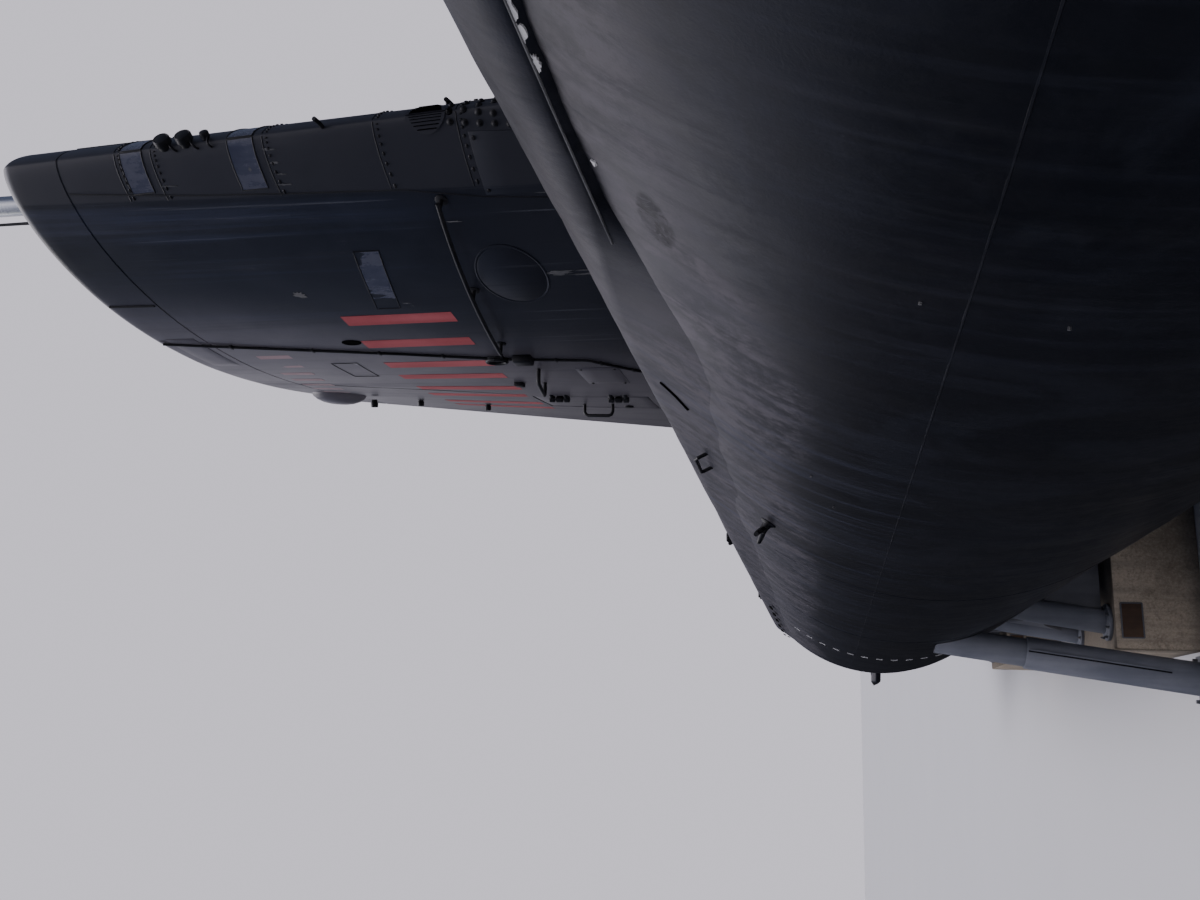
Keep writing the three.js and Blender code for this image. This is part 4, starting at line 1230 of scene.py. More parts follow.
ROUND_COVER = [(0.3, -0.01), (0.3, 0.005), (0.292, 0.008), (0.28, 0.003), (0.27, 0.008), (0.0, 0.01)]
OVAL_PORT = [(0.068, -0.01), (0.068, 0.006), (0.06, 0.01), (0.054, 0.003), (0, 0.003)]
COVER_X, COVER_Z, COVER_STRETCH = 6.96, 3.63, 1.5
for side_name, side in SIDES.items():
    flank = sail_flank(side)
    for name, (low, high) in NOSE_WINDOWS.items():
        us = nose_turns(side, 8.09, (low + high) / 2, 0.02, 12)
        title = f"{name}_bridge_window_{side_name}"
        window(title, sail_point, us, at_level(low), at_level(high), WINDOW_GLASS, slot="sail")
    us = spaced(6.52, 7.41, 9)
    window("middle_window_" + side_name, flank, us, tilted(4.79), tilted(5.01), WINDOW_GLASS, slot="sail")
    us = spaced(4.56, 5.14, 6)
    window("after_window_" + side_name, flank, us, at_level(5.82), at_level(6.1), DIM_GLASS, slot="sail")
    for z in NOSE_JOINTS:
        title = f"{side_name}_{round(z * 100)}"
        us = nose_turns(side, SAIL_SEAM_X, z, 0.03, 24)
        run("nose_joint_" + title, [sail_point(u, z, -0.003) for u in us], 0.007, SEAM_PAINT, 8, slot="sail")
        for k, u in enumerate(us[2:-1:3]):
            disc(f"nose_rivet_{title}_{k}", sail_point, (u, z - 0.035), RIVET, BLACK_PAINT, 10, slot="sail")
    for name, (us, vs) in SAIL_PLATES.items():
        plate(f"{name}_plate_{side_name}", flank, us, vs, PLATE_THICK, SAIL_PAINT, bevel=0.005, slot="sail")
    stretched = lambda x, z, out, flank=flank: flank(COVER_X + x * COVER_STRETCH, z, out)
    disc("round_cover_" + side_name, stretched, (0, COVER_Z), ROUND_COVER, SAIL_PAINT, 56, slot="sail")
    # The oval port is a near-black disc: painted shade for the inside of the port.
    disc("oval_port_" + side_name, flank, (5.79, 5.58), OVAL_PORT, OPENING_SHADE, 28, 1.45)
    for k, place in enumerate(PLATE_BOLTS):
        disc(f"plate_bolt_{side_name}_{k}", flank, place, BOLT, BLACK_PAINT, 6)
print("windows, plates and covers")

# %% [markdown]
# The salt and old primer that ran down below plates and rivets are chips and drips: thin flakes again, long ones
# under the round cover and beside the nose's access plate, tiny ones under the lower window.

# %% Chips and drips on the sail
DRIPS = [
    (7.98, 3.3, 0.014, 0.12), (7.95, 3.05, 0.01, 0.1), (8.31, 3.4, 0.008, 0.14), (6.98, 3.22, 0.03, 0.1),
    (6.94, 3.0, 0.012, 0.14), (7.0, 2.95, 0.007, 0.12), (8.12, 5.13, 0.006, 0.05), (8.2, 5.12, 0.005, 0.04),
    (8.28, 5.14, 0.008, 0.03), (8.36, 5.15, 0.006, 0.05), (8.14, 6.1, 0.006, 0.06), (7.7, 3.9, 0.006, 0.05),
    (6.55, 4.72, 0.007, 0.06), (6.6, 4.7, 0.005, 0.04), (8.24, 5.36, 0.012, 0.01),
]
for k, (x, z, wide, tall) in enumerate(DRIPS):
    flake(f"sail_drip_{k}", starboard, x, z, wide, tall, PALE_WEAR_AND_HIGHLIGHT, 0.5, slot="sail")
flake("bare_patch", starboard, 6.83, 5.61, 0.045, 0.055, PALE_WEAR_AND_HIGHLIGHT, 0.35, slot="sail")
print(len(DRIPS), "drips")

# %% [markdown]
# ## Lamps, louvre, rails and handles
# The nose carries two lamps and a fog-signal louvre with a ladder of studs below it. The handrail is a bar bent to
# the sail's plan on three feet. Handles are U-shaped bars. Each is a path with a round bar swept along it.

# %% Fittings on the nose
def lamp(name, foot, way, radius, deep):
    case = [(0.8, 0.2), (1, 0.26), (1, 0.84), (0.93, 0.97), (0.86, 1), (0.8, 0.95), (0.5, 1.02), (0, 1.04)]
    profile = [(0, -0.02), (radius * 0.8, -0.02)] + [(radius * r, deep * d) for r, d in case]
    return turned(name, profile, foot, way, BLACK_PAINT, 32)


NOSE_LAMPS = {
    "upper_nose_lamp": (0.05, 6.04, 0.066, 0.07), "lower_nose_lamp": (0.06, 5.85, 0.066, 0.075),
    "nose_horn": (0.09, 5.68, 0.036, 0.06),
}
for name, (turn, height, radius, deep) in NOSE_LAMPS.items():
    foot = Vector(sail_point(turn, height, 0.0))
    lamp(name, foot, Vector(sail_point(turn, height, 1.0)) - foot, radius, deep)
    lead = [(turn, 0.6, deep * 0.5), (-0.05, 1.25, 0.03), (-0.1, 1.7, 0.004)]
    lead = [sail_point(around_nose, height - radius * drop, out) for around_nose, drop, out in lead]
    run(name + "_lead", smooth_path(lead, 5), 0.009, BLACK_PAINT, 8)
spur = [sail_point(0.0, 4.68, out) for out in (0.0, 0.06, 0.12)]
run("nose_spur", [spur[0], spur[1], tuple(Vector(spur[2]) + Vector((0, 0, 0.012)))], 0.017, BLACK_PAINT, 12)
LOUVRE_BACK, LOUVRE_FRONT, LOUVRE_Z, LOUVRE_RADIUS, LOUVRE_SLOTS = 8.43, 8.515, 3.86, 0.155, 5
STUD_ROWS, STUD_COLUMNS, STUD_RAKE = (3.24, 3.35, 3.46, 3.57, 3.68), (8.49, 8.54), 0.035
STUD = [(0.027, -0.01), (0.027, 0.005), (0.018, 0.008), (0.016, 0.016), (0.01, 0.02), (0, 0.02)]
for side_name, side in SIDES.items():
    near, far = (sail_turn(x, LOUVRE_Z, side) for x in (LOUVRE_FRONT, LOUVRE_BACK))
    arc = [(mix(near, far, math.sin(a)), -math.cos(a)) for a in spaced(0.02, math.pi - 0.02, 24)]
    face = [(near, -1.0), *arc, (near, 1.0)]
    rows = [[sail_point(u, LOUVRE_Z + t * LOUVRE_RADIUS, out) for u, t in face] for out in (-0.01, 0.012)]
    skin(f"louvre_face_{side_name}", rows, SAIL_PAINT, slot="sail")
    # The louvre's slots are raised near-black plates: painted shade in place of openings.
    for k in range(LOUVRE_SLOTS):
        t = 0.12 + 0.17 * k
        tall = LOUVRE_RADIUS * math.sqrt(1 - t * t) * 0.82
        us = sorted((mix(near, far, t - 0.02), mix(near, far, t + 0.02)))
        vs = spaced(LOUVRE_Z - tall, LOUVRE_Z + tall, 3)
        plate(f"louvre_slot_{side_name}_{k}", sail_point, us, vs, 0.018, OPENING_SHADE, bevel=0.003)
    for row, z in enumerate(STUD_ROWS):
        for column, x in enumerate(STUD_COLUMNS):
            turn = sail_turn(x - STUD_RAKE * (3.66 - z), z, side)
            centre = sail_point(turn, z, 0.0)
            out = Vector(sail_point(turn, z, 1.0)) - Vector(centre)
            turned(f"nose_stud_{side_name}_{row}_{column}", STUD, centre, out, BLACK_PAINT, 14)
print(len(NOSE_LAMPS), "lamps and", len(STUD_ROWS) * len(STUD_COLUMNS), "studs a side")

# %% Rails and handles
RAIL_FRONT, RAIL_BACK, RAIL_OUT, RAIL_RADIUS = (7.97, 3.92), (5.57, 4.13), 0.1, 0.018
RAIL_PAD = [(0.05, -0.01), (0.05, 0.008), (0.044, 0.012), (0, 0.012)]
BULGE = [
    (0.34, -0.02), (0.33575, 0.004), (0.3145, 0.04), (0.2635, 0.08), (0.187, 0.11), (0.102, 0.125), (0, 0.13)
]
SIDE_LAMPS = [(2.78, 6.66, 0.045, 0.06), (2.5, 6.15, 0.04, 0.0), (2.2, 5.35, 0.04, 0.0)]


def handle(name, flank, start, end, out, radius, **options):
    (x0, z0), (x1, z1) = start, end
    bend = out * 0.35
    t = bend / max(0.05, math.hypot(x1 - x0, z1 - z0))
    leg = [(0, -0.01), (0, out * 0.5), (0, out - bend), (t * 0.3, out - bend * 0.3), (t, out)]
    bar = leg + [(0.5, out)] + [(1 - s, o) for s, o in reversed(leg)]
    run(name, [flank(mix(x0, x1, s), mix(z0, z1, s), o) for s, o in bar], radius, BLACK_PAINT, 12, **options)


def rail_place(t):
    return mix(RAIL_FRONT[0], RAIL_BACK[0], t), mix(RAIL_FRONT[1], RAIL_BACK[1], t)


for side_name, side in SIDES.items():
    flank = sail_flank(side)
    rail = [flank(*rail_place(t), RAIL_OUT) for t in spaced(0, 1, 40)]
    bar = run("handrail_" + side_name + "_bar", rail, RAIL_RADIUS, BLACK_PAINT, 16)
    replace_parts(bar, "handrail_" + side_name)
    for k, t in enumerate((0.02, 0.5, 0.98)):
        place = rail_place(t)
        rod(
            f"handrail_foot_{side_name}_{k}", flank(*place, -0.01), flank(*place, RAIL_OUT), RAIL_RADIUS,
            BLACK_PAINT, 12
        )
        disc(f"handrail_pad_{side_name}_{k}", flank, place, RAIL_PAD, BLACK_PAINT, 24)
    handle("grab_handle_" + side_name, flank, (4.12, 4.08), (4.76, 3.98), 0.15, 0.021)
    plate(
        "square_fitting_" + side_name, flank, spaced(4.05, 4.17, 2), [4.32, 4.42], 0.04, BLACK_PAINT, bevel=0.01
    )
    disc("trailing_bulge_" + side_name, flank, (2.95, 7.06), BULGE, SAIL_PAINT, 48, slot="sail")
    for k, (x, z, radius, raised) in enumerate(SIDE_LAMPS):
        foot = Vector(flank(x, z, raised))
        lamp(f"side_lamp_{side_name}_{k}", foot, Vector(flank(x, z, 1.0)) - foot, radius, 0.075)
print("fittings on the sail")

# %% [markdown]
# ## Side door
# The door is a slab cut from the sail's own skin. It rides the door's body and turns about pins on its forward
# edge, so its handle and its moving knuckles ride with it, and the fixed knuckles stay on the sail.

# %% Door and hinges
HINGE_LENGTH = 0.25
DOOR_LOCK = [(0.06, -0.01), (0.06, 0.014), (0.045, 0.02), (0, 0.022)]
door = plate(
    "sail_door_leaf", starboard, spaced(
        DOOR["back"], DOOR["front"], 14
    ), spaced(DOOR["low"], DOOR["high"], 10), 0.0,
    SAIL_PAINT, sunk=DOOR["thick"], bevel=0.008, body="sail_door", slot="sail",
)
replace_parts(door, "sail_door")
handle("door_handle", starboard, (2.66, 3.62), (2.6, 3.98), 0.14, 0.02, body="sail_door")
disc("door_lock", starboard, (2.5, 3.45), DOOR_LOCK, BLACK_PAINT, 28, body="sail_door")


def hinge_place(height):
    ends = [starboard(DOOR["front"], z)[1] - 0.045 for z in (DOOR["low"], DOOR["high"])]
    t = share(height, DOOR["low"], DOOR["high"])
    return (DOOR["front"] + 0.03, mix(ends[0], ends[1], t), height)


for k, low in enumerate((DOOR["low"] + 0.2, DOOR["high"] - 0.45)):
    part = lambda a, b, low=low: (hinge_place(low + a * HINGE_LENGTH), hinge_place(low + b * HINGE_LENGTH))
    rod(f"door_hinge_pin_{k}", *part(0.02, 0.98), PIN, BOLT_STEEL)
    rod(f"door_moving_knuckle_{k}", *part(0.34, 0.66), KNUCKLE, BLACK_PAINT, 28, body="sail_door")
    middle = low + HINGE_LENGTH / 2
    arm = (hinge_place(middle), starboard(DOOR["front"] - 0.1, middle, -0.02))
    rod(f"door_moving_arm_{k}", *arm, ARM, BLACK_PAINT, 16, body="sail_door")
    for j, t in enumerate((0.15, 0.85)):
        rod(f"door_fixed_knuckle_{k}_{j}", *part(t - 0.13, t + 0.13), KNUCKLE, BLACK_PAINT, 28)
        middle = low + t * HINGE_LENGTH
        arm = (hinge_place(middle), starboard(DOOR["front"] + 0.13, middle, -0.02))
        rod(f"door_fixed_arm_{k}_{j}", *arm, ARM, BLACK_PAINT, 16)
print("door hung on two hinges")

# %% [markdown]
# ## Red marks
# The sail carries bright marks in faded red. Here they are plain upright bars, tall ones with a row of small ones
# above, of the same colour, height and place. Each is a plate as thin as paint that follows the skin, and chips in
# its finish show the dark paint below.

# %% Red bars
BAR_WIDTH = 0.2
BAR_X = [6.3, 5.72, 5.02, 4.5, 3.84, 3.32, 2.62, 2.1]
SMALL_BARS = 8
MARK_THICK = 0.0035
for side_name, side in SIDES.items():
    flank = sail_flank(side)
    for k, x in enumerate(BAR_X):
        low, high = 4.36 + 0.02 * k, 5.42 + 0.055 * k
        if side == STARBOARD and k >= 5:
            low = max(low, DOOR["high"] + 0.06)
        us, vs = spaced(x - BAR_WIDTH / 2, x + BAR_WIDTH / 2, 3), spaced(low, high, 8)
        plate(f"red_bar_{side_name}_{k}", flank, us, vs, MARK_THICK, RED_PAINT, bevel=0.0, slot="sail")
    for k in range(SMALL_BARS):
        x = 5.42 - 0.35 * k
        low = 6.4 + 0.15 * (5.5 - x)
        us, vs = spaced(x - 0.055, x + 0.055, 2), spaced(low, low + 0.36, 4)
        plate(
            f"small_red_bar_{side_name}_{k}", flank, us, vs, MARK_THICK, PALE_RED_PAINT, bevel=0.0, slot="sail"
        )
print(len(BAR_X), "tall bars and", SMALL_BARS, "small ones a side")

# %% [markdown]
# ## Masts and bridge
# The masts slide in wells in the sail. Each is turned in one profile with its head, and rides its own body, so it
# goes up and down whole. The attack periscope stands raised at rest, so its well is deeper by the way that it can go
# down. The bridge is an open well with a grating, a ladder and a rolled rim.

# %% Masts
MAST_HEADS = {
    "periscope_attack": [
        (0.0875, 8.64), (0.083, 8.655), (0.06, 8.68), (0.058, 8.98), (0.054, 9.0), (0.052, 9.12), (0.044, 9.148),
        (0, 9.15),
    ],
    "periscope_search": [
        (0.11, 7.8), (0.13, 7.82), (0.14, 7.84), (0.14, 8.06), (0.13, 8.12), (0.1, 8.145), (0, 8.15),
    ],
    "radar_mast": [(0.1, 7.64), (0.13, 7.66), (0.13, 7.76), (0.11, 7.78), (0, 7.785)],
    "snorkel_mast": [
        (0.15, 7.68), (0.19, 7.7), (0.265, 7.74), (0.27, 7.78), (0.27, 7.84), (0.2, 7.86), (0.2, 8.02), (0.27, 8.04),
        (0.265, 8.1), (0.2, 8.17), (0.1, 8.195), (0, 8.2),
    ],
    "antenna_mast": [
        (0.05, 7.78), (0.068, 7.8), (0.07, 7.86), (0.06, 7.88), (0.03, 7.9), (0.028, 8.07), (0.02, 8.1), (0, 8.1),
    ],
}
ATTACK_EYE = [(0.03, -0.01), (0.03, 0.016), (0.024, 0.018), (0.022, 0.01), (0, 0.012)]
SCANNER = [
    (-0.42, 0.3), (-0.41, 0.7), (-0.38, 1), (-0.2, 1), (0, 1), (0.2, 1), (0.38, 1), (0.41, 0.7), (0.42, 0.3)
]
SCANNER_DEEP, SCANNER_TALL, SCANNER_HEIGHT = 0.118, 0.085, 7.872
GRILLE_BARS, GRILLE_RADIUS = 16, 0.235
COLLAR_SIDES = 40
WHIP_FOOT = (7.26, 0.02, SAIL_TOP["height"])
WHIP = [
    (0.04, SEAM), (0.04, 0.05), (0.03, 0.07), (0.034, 0.1), (0.024, 0.12), (0.028, 0.15), (0.016, 0.19), (0.014, 0.6),
    (0.011, 1.2), (0.008, 1.9), (0, 1.901),
]


def mast(name, finish=BLACK_PAINT, slot="black", sides=36):
    m = MASTS[name]
    low = m["low"] + m["down"]
    whole = [(m["radius"] - 0.01, 0), (m["radius"], 0.01)] + [(r, h - low) for r, h in MAST_HEADS[name]]
    thing = turned(name + "_tube", whole, (m["x"], 0, low), (0, 0, 1), finish, sides, body=name, slot=slot)
    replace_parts(thing, name)
    return m["x"]


def before(x):
    return lambda y, z, out: (x + out, y, z)


def squarish(value):
    return math.copysign(abs(value) ** 0.5, value)


x = mast("periscope_attack", MAST_STEEL, "mast")
disc("attack_eye", before(x + 0.045), (0, 9.06), ATTACK_EYE, BLACK_PAINT, 24, body="periscope_attack")
x = mast("periscope_search")
eye_y = spaced(-0.07, 0.07, 4)
plate(
    "search_eye", before(x + 0.132), eye_y, [7.88, 8.03], 0.012, WINDOW_GLASS, bevel=0.006,
    body="periscope_search"
)
x = mast("radar_mast")
scanner_rows = []
for y, full in SCANNER:
    deep, tall = SCANNER_DEEP * full, SCANNER_TALL * full
    turns = [k / 32 * math.tau for k in range(32)]
    row = [(x + deep * squarish(math.cos(a)), y, SCANNER_HEIGHT + tall * squarish(math.sin(a))) for a in turns]
    scanner_rows.append(row)
skin("radar_scanner", scanner_rows, BLACK_PAINT, body="radar_mast")
x = mast("snorkel_mast")
for k in range(GRILLE_BARS):
    turn = k / GRILLE_BARS * math.tau
    place = (x + GRILLE_RADIUS * math.cos(turn), GRILLE_RADIUS * math.sin(turn))
    rod(f"snorkel_grille_{k}", (*place, 7.83), (*place, 8.05), 0.012, BLACK_PAINT, 8, body="snorkel_mast")
mast("antenna_mast", sides=24)
for name, m in MASTS.items():
    collar = [(0.06, -0.03), (0.06, 0.012), (0.05, 0.022), (0.008, 0.022), (0.004, 0.01), (0.004, -0.03)]
    collar = [(m["radius"] + wider, height) for wider, height in collar]
    rows = turned_rows(collar, (m["x"], 0, SAIL_TOP["height"]), (0, 0, 1), COLLAR_SIDES)
    points = [p for row in rows for p in row]
    faces = grid_faces(len(rows) + 1, COLLAR_SIDES, capped=False)
    piece(
        name + "_collar", points, [[k % len(points) for k in face] for face in faces], BOLT_STEEL, slot="sail"
    )
whip = turned("whip_antenna_rod", WHIP, WHIP_FOOT, (0, 0, 1), BLACK_PAINT, 20)
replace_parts(whip, "whip_antenna")
print(len(MASTS), "masts and a whip antenna")

# %% Bridge
GRATING_BARS, RUNGS, RUNG_STEP = 9, 5, 0.3
half, floor_height = BRIDGE["half"], BRIDGE["floor"]
rim = [(BRIDGE["back"], -half), (BRIDGE["front"], -half), (BRIDGE["front"], half), (BRIDGE["back"], half)]
rim = [(x, y, SAIL_TOP["height"] + 0.004) for x, y in rim + rim[:2]]
halfway = [tuple(mix(a[i], b[i], 0.5) for i in range(3)) for a, b in zip(rim, rim[1:])]
run("bridge_rim", [p for pair in zip(rim, halfway) for p in pair], 0.022, BLACK_PAINT, 12)
for k, y in enumerate(spaced(-half + 0.05, half - 0.05, GRATING_BARS - 1)):
    low = (BRIDGE["back"] + 0.02, y - 0.012, floor_height + 0.002)
    high = (BRIDGE["front"] - 0.02, y + 0.012, floor_height + 0.03)
    block(f"bridge_grating_bar_{k}", low, high, BOLT_STEEL, bevel=0.004)
for k in range(RUNGS):
    height = 6.1 + RUNG_STEP * k
    handle(f"bridge_rung_{k}", before(BRIDGE["back"]), (-0.16, height), (0.16, height), 0.07, 0.014)
print("bridge fitted out")

# %% [markdown]
# ## Deck fittings
# Few deck fittings show in the photograph: a ring handle and a short slot near the sail, and a black two-horned
# cleat on the shoulder. They are repeated to port. The walkway's grip strips, bollards and capstan are what such a
# deck has, and they give the top view its scale.

# %% Cleats, handles and slots
CLEAT_OUT, CLEAT_HEIGHT, HORN_REACH, HORN_RADIUS = 2.4, 1.6, 0.2, 0.03
CLEAT_STEM = [
    (0.075, -0.02), (0.075, 0.012), (0.06, 0.02), (0.045, 0.03), (0.036, 0.06), (0.036, 0.1), (0.03, 0.112), (0, 0.114),
]
HORN = [(0.085, 0), (0.1, 0.35), (0.14, 0.8), (0.172, 1)]
STAPLE_FEET, STAPLE_BAR = [(6.38, 2.1, 2.015), (6.9, 2.115, 2.0)], 0.015
DECK_SLOT, DECK_SLOT_BAR = [(8.2, 2.14, 1.983), (8.384, 2.099, 2.045), (8.516, 2.052, 2.117)], 0.011
LIMBER_SLOTS, LIMBER_START, LIMBER_STEP, LIMBER_LENGTH = 10, -15.0, 1.15, 0.42


def casing_flank(side):
    def place(x, height, out=0.0):
        climb = (height - foot_height(x)) / (deck_height(x) - foot_height(x))
        _, y, z = casing_point(x, math.asin(min(0.95, climb)), out)
        return (x, side * abs(y), z)

    return place


for side_name, side in SIDES.items():
    way = Vector((0, side * 0.83, 0.56))
    foot = Vector((CLEAT_X, side * CLEAT_OUT, CLEAT_HEIGHT))
    stem = turned("cleat_" + side_name + "_stem", CLEAT_STEM, foot, way, BLACK_PAINT, 32)
    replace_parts(stem, "cleat_" + side_name)
    for k, reach in enumerate((HORN_REACH, -HORN_REACH)):
        horn = smooth_path([foot + way * lift + Vector((reach * out, 0, 0)) for lift, out in HORN], 5)
        across = around(Vector((reach, 0, 0)) + way * 0.06)[:2]
        rows = [ring_points(p, *across, HORN_RADIUS - 0.0006 * j, 16) for j, p in enumerate(horn)]
        skin(f"cleat_horn_{side_name}_{k}", rows, BLACK_PAINT)
    one, other = (Vector((x, side * y, z)) for x, y, z in STAPLE_FEET)
    lift, corner = Vector((0, side * 0.45, 0.89)), Vector((0.02, 0, 0))
    staple = [one - lift * 0.03, one + lift * 0.08, one + lift * 0.095 + corner]
    staple += [other + lift * 0.095 - corner, other + lift * 0.08, other - lift * 0.03]
    run("ring_handle_" + side_name, staple, STAPLE_BAR, BLACK_PAINT, 12)
    # The deck slot is a near-black bar: painted shade in place of an opening.
    slot_path = smooth_path([(x, side * y, z) for x, y, z in DECK_SLOT], 6)
    run("deck_slot_" + side_name, slot_path, DECK_SLOT_BAR, OPENING_SHADE, 8)
    # Limber slots are thin near-black plates on the casing: painted shade in place of openings.
    for k in range(LIMBER_SLOTS):
        x = LIMBER_START + LIMBER_STEP * k
        us, vs = spaced(x, x + LIMBER_LENGTH, 4), [foot_height(x) + 0.09, foot_height(x) + 0.14]
        plate(f"limber_slot_{side_name}_{k}", casing_flank(side), us, vs, 0.003, OPENING_SHADE, bevel=0.0)
print("cleats, handles and", LIMBER_SLOTS, "limber slots a side")

# %% Walkway, bollards and capstan
GRIP_RUNS = {"forward": (9.0, 20.4), "aft": (-16.4, -0.6)}
GRIP_STEP, GRIP_LENGTH, GRIP_INNER, GRIP_OUTER = 0.62, 0.5, 0.1, 0.62
CLEAR_OF_HATCH, CLEAR_OF_CAPSTAN = 0.95, 0.75
BOLLARD_X, BOLLARD_OUT, BOLLARD_HALF_GAP = [16.0, 11.6, -3.6, -11.8], 1.0, 0.17
BOLLARD = [
    (0.1, -0.05), (0.1, 0.012), (0.07, 0.03), (0.062, 0.15), (0.085, 0.19), (0.085, 0.215), (0.07, 0.23), (0, 0.234),
]
CAPSTAN_X = 17.2
CAPSTAN = [
    (0.26, -0.06), (0.26, 0.02), (0.24, 0.035), (0.17, 0.05), (0.13, 0.12), (0.14, 0.24), (0.2, 0.3), (0.21, 0.34),
    (0.18, 0.37), (0, 0.375),
]
for run_name, (start, end) in GRIP_RUNS.items():
    for k in range(int((end - start) / GRIP_STEP)):
        x = start + GRIP_STEP * k
        middle = x + GRIP_LENGTH / 2
        if abs(middle - HATCHES[run_name]) < CLEAR_OF_HATCH or abs(middle - CAPSTAN_X) < CLEAR_OF_CAPSTAN:
            continue
        for side_name, side in SIDES.items():
            us, vs = spaced(x, x + GRIP_LENGTH, 2), spaced(*sorted((side * GRIP_INNER, side * GRIP_OUTER)), 4)
            title = f"grip_strip_{run_name}_{side_name}_{k}"
            plate(title, deck, us, vs, 0.006, GRIP_PAINT, bevel=0.004, slot="casing")
for side_name, side in SIDES.items():
    for k, x in enumerate(BOLLARD_X):
        for j, dx in enumerate((-BOLLARD_HALF_GAP, BOLLARD_HALF_GAP)):
            foot = deck(x + dx, side * BOLLARD_OUT)
            turned(f"bollard_{side_name}_{k}_{j}", BOLLARD, foot, (0, 0, 1), BLACK_PAINT, 32)
turned("capstan", CAPSTAN, (CAPSTAN_X, 0, deck_height(CAPSTAN_X)), (0, 0, 1), BLACK_PAINT, 48)
print("deck fitted out")

# %% [markdown]
# ## Bow
# The sonar dome is a smooth blister on the crown. The torpedo tubes' shutters are closed, so each shows only as a
# thin plate with a gap round it, four to a side. The bow planes are wings with a rounded nose and a thin tail.

# %% Dome, shutters and bow planes
DOME = {"x": 22.35, "half_length": 1.25, "half_width": 0.55, "rise": 0.62, "sunk": 0.12}
SHUTTERS = [(22.6, 0.62), (22.6, -0.02), (23.2, 0.55), (23.2, -0.08)]
SHUTTER_EDGE = [(0.3, -0.03), (0.3, 0.007), (0.285, 0.011), (0, 0.013)]
FOIL_STEPS = [(1 - math.cos(t)) / 2 for t in spaced(0, math.pi, 28)]
BOW_PLANE = {
    "axis": 18.2, "front": 18.75, "back": 17.3, "tip": 3.25, "height": 0.55, "half": 0.1, "stock": 0.08
}
COLLAR = [(0.2, -0.02), (0.2, 0.014), (0.18, 0.02), (0.09, 0.02), (0.088, -0.02)]
plane_root = hull_lines(BOW_PLANE["back"])[0] + 0.03
turns = [k / 48 * math.tau for k in range(49)]
dome_foot = hull_lines(DOME["x"])[1] - DOME["sunk"]
dome_rows = []
for t in [-math.cos(turn) for turn in spaced(0, math.pi, 48)]:
    ring = max(0.0, 1 - t * t) ** 0.5
    x, wide, tall = DOME["x"] + DOME["half_length"] * t, DOME["half_width"] * ring, DOME["rise"] * ring
    dome_rows.append([(x, wide * math.cos(a), dome_foot + tall * math.sin(a)) for a in turns[:-1]])
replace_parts(skin("sonar_dome_shell", dome_rows, BLACK_PAINT), "sonar_dome")
for side_name, side in SIDES.items():
    flank = hull_flank(side)
    for k, (x, z) in enumerate(SHUTTERS):
        disc(f"tube_shutter_{side_name}_{k}", flank, (x, z), SHUTTER_EDGE, HULL_PAINT, 48, 0.9, slot="hull")
        ring = [flank(x + 0.315 * math.cos(a), z + 0.284 * math.sin(a), -0.002) for a in turns]
        run(f"shutter_ring_{side_name}_{k}", ring, 0.009, BLACK_PAINT, 8)


def foil(name, outs, profile, place, **options):
    rows = []
    for out, front, back, fullness in outs:
        upper = [
            (mix(front, back, f), profile(mix(front, back, f), front, back) * fullness) for f in FOIL_STEPS
        ]
        loop = upper + [(x, -h) for x, h in reversed(upper)]
        rows.append([place(x, out, h) for x, h in loop])
    return skin(name, rows, HULL_PAINT, slot="hull", **options)


def bow_plane_profile(x, front, back):
    f = (front - x) / (front - back)
    return BOW_PLANE["half"] * (min(1.0, 2.6 * f**0.5 * (1 - f) ** 0.9) + 0.06 * f)


for side_name, side in SIDES.items():
    body = "bow_plane_" + side_name
    front, back, tip = BOW_PLANE["front"], BOW_PLANE["back"], BOW_PLANE["tip"]
    rows = [
        (plane_root, front, back, 0.96), (mix(plane_root, tip, 0.5), front - 0.17, back, 0.96),
        (tip - 0.05, front - 0.34, back, 0.94), (tip - 0.015, front - 0.36, back + 0.02, 0.7),
        (tip, front - 0.39, back + 0.06, 0.3),
    ]
    place = lambda x, out, h=0, side=side: (x, side * out, BOW_PLANE["height"] + h)
    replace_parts(foil(body + "_foil", rows, bow_plane_profile, place, body=body), body)
    stock = (place(BOW_PLANE["axis"], 1.4), place(BOW_PLANE["axis"], plane_root + 0.3))
    rod(body + "_stock", *stock, BOW_PLANE["stock"], BOLT_STEEL, 32, body=body)
    axis = (BOW_PLANE["axis"], BOW_PLANE["height"])
    disc(f"bow_plane_collar_{side_name}", hull_flank(side), axis, COLLAR, SEAM_PAINT, 48, slot="hull")
print("bow fitted out")

# %% [markdown]
# ## Tail
# Four fixed fins make a cross, and a rudder or plane hinges behind each. Fin and moving surface share one foil: the
# fin has its nose and a blunt back, and the surface has a round nose about its stock and a thin tail.

# %% Fins, rudders and stern planes
FIN_FRONT, FIN_BACK, FIN_HALF = -17.9, -20.31, 0.13
SURFACE_AXIS, SURFACE_NOSE, SURFACE_BACK, SURFACE_EDGE, SURFACE_STOCK = -20.45, 0.12, -21.75, 0.018, 0.06
SURFACES = {
    "rudder_upper": ((0, 0, 1), 2.15), "rudder_lower": ((0, 0, -1), 2.15),
    "stern_plane_port": ((0, 1, 0), 2.7), "stern_plane_starboard": ((0, -1, 0), 2.7),
}


def along_way(way):
    def place(x, out, h=0):
        if way[1]:
            return (x, way[1] * out, SHAFT_HEIGHT + h)
        return (x, h, SHAFT_HEIGHT + way[2] * out)

    return place


def fin_profile(x, front, back):
    f = (front - x) / (front - back)
    return FIN_HALF * min(1.0, (1 - (1 - min(f / 0.4, 1)) ** 2) ** 0.5)


def surface_profile(x, front, back):
    if x > SURFACE_AXIS:
        return max(0.0, SURFACE_NOSE**2 - (x - SURFACE_AXIS) ** 2) ** 0.5
    return mix(SURFACE_NOSE, SURFACE_EDGE, (SURFACE_AXIS - x) / (SURFACE_AXIS - back))


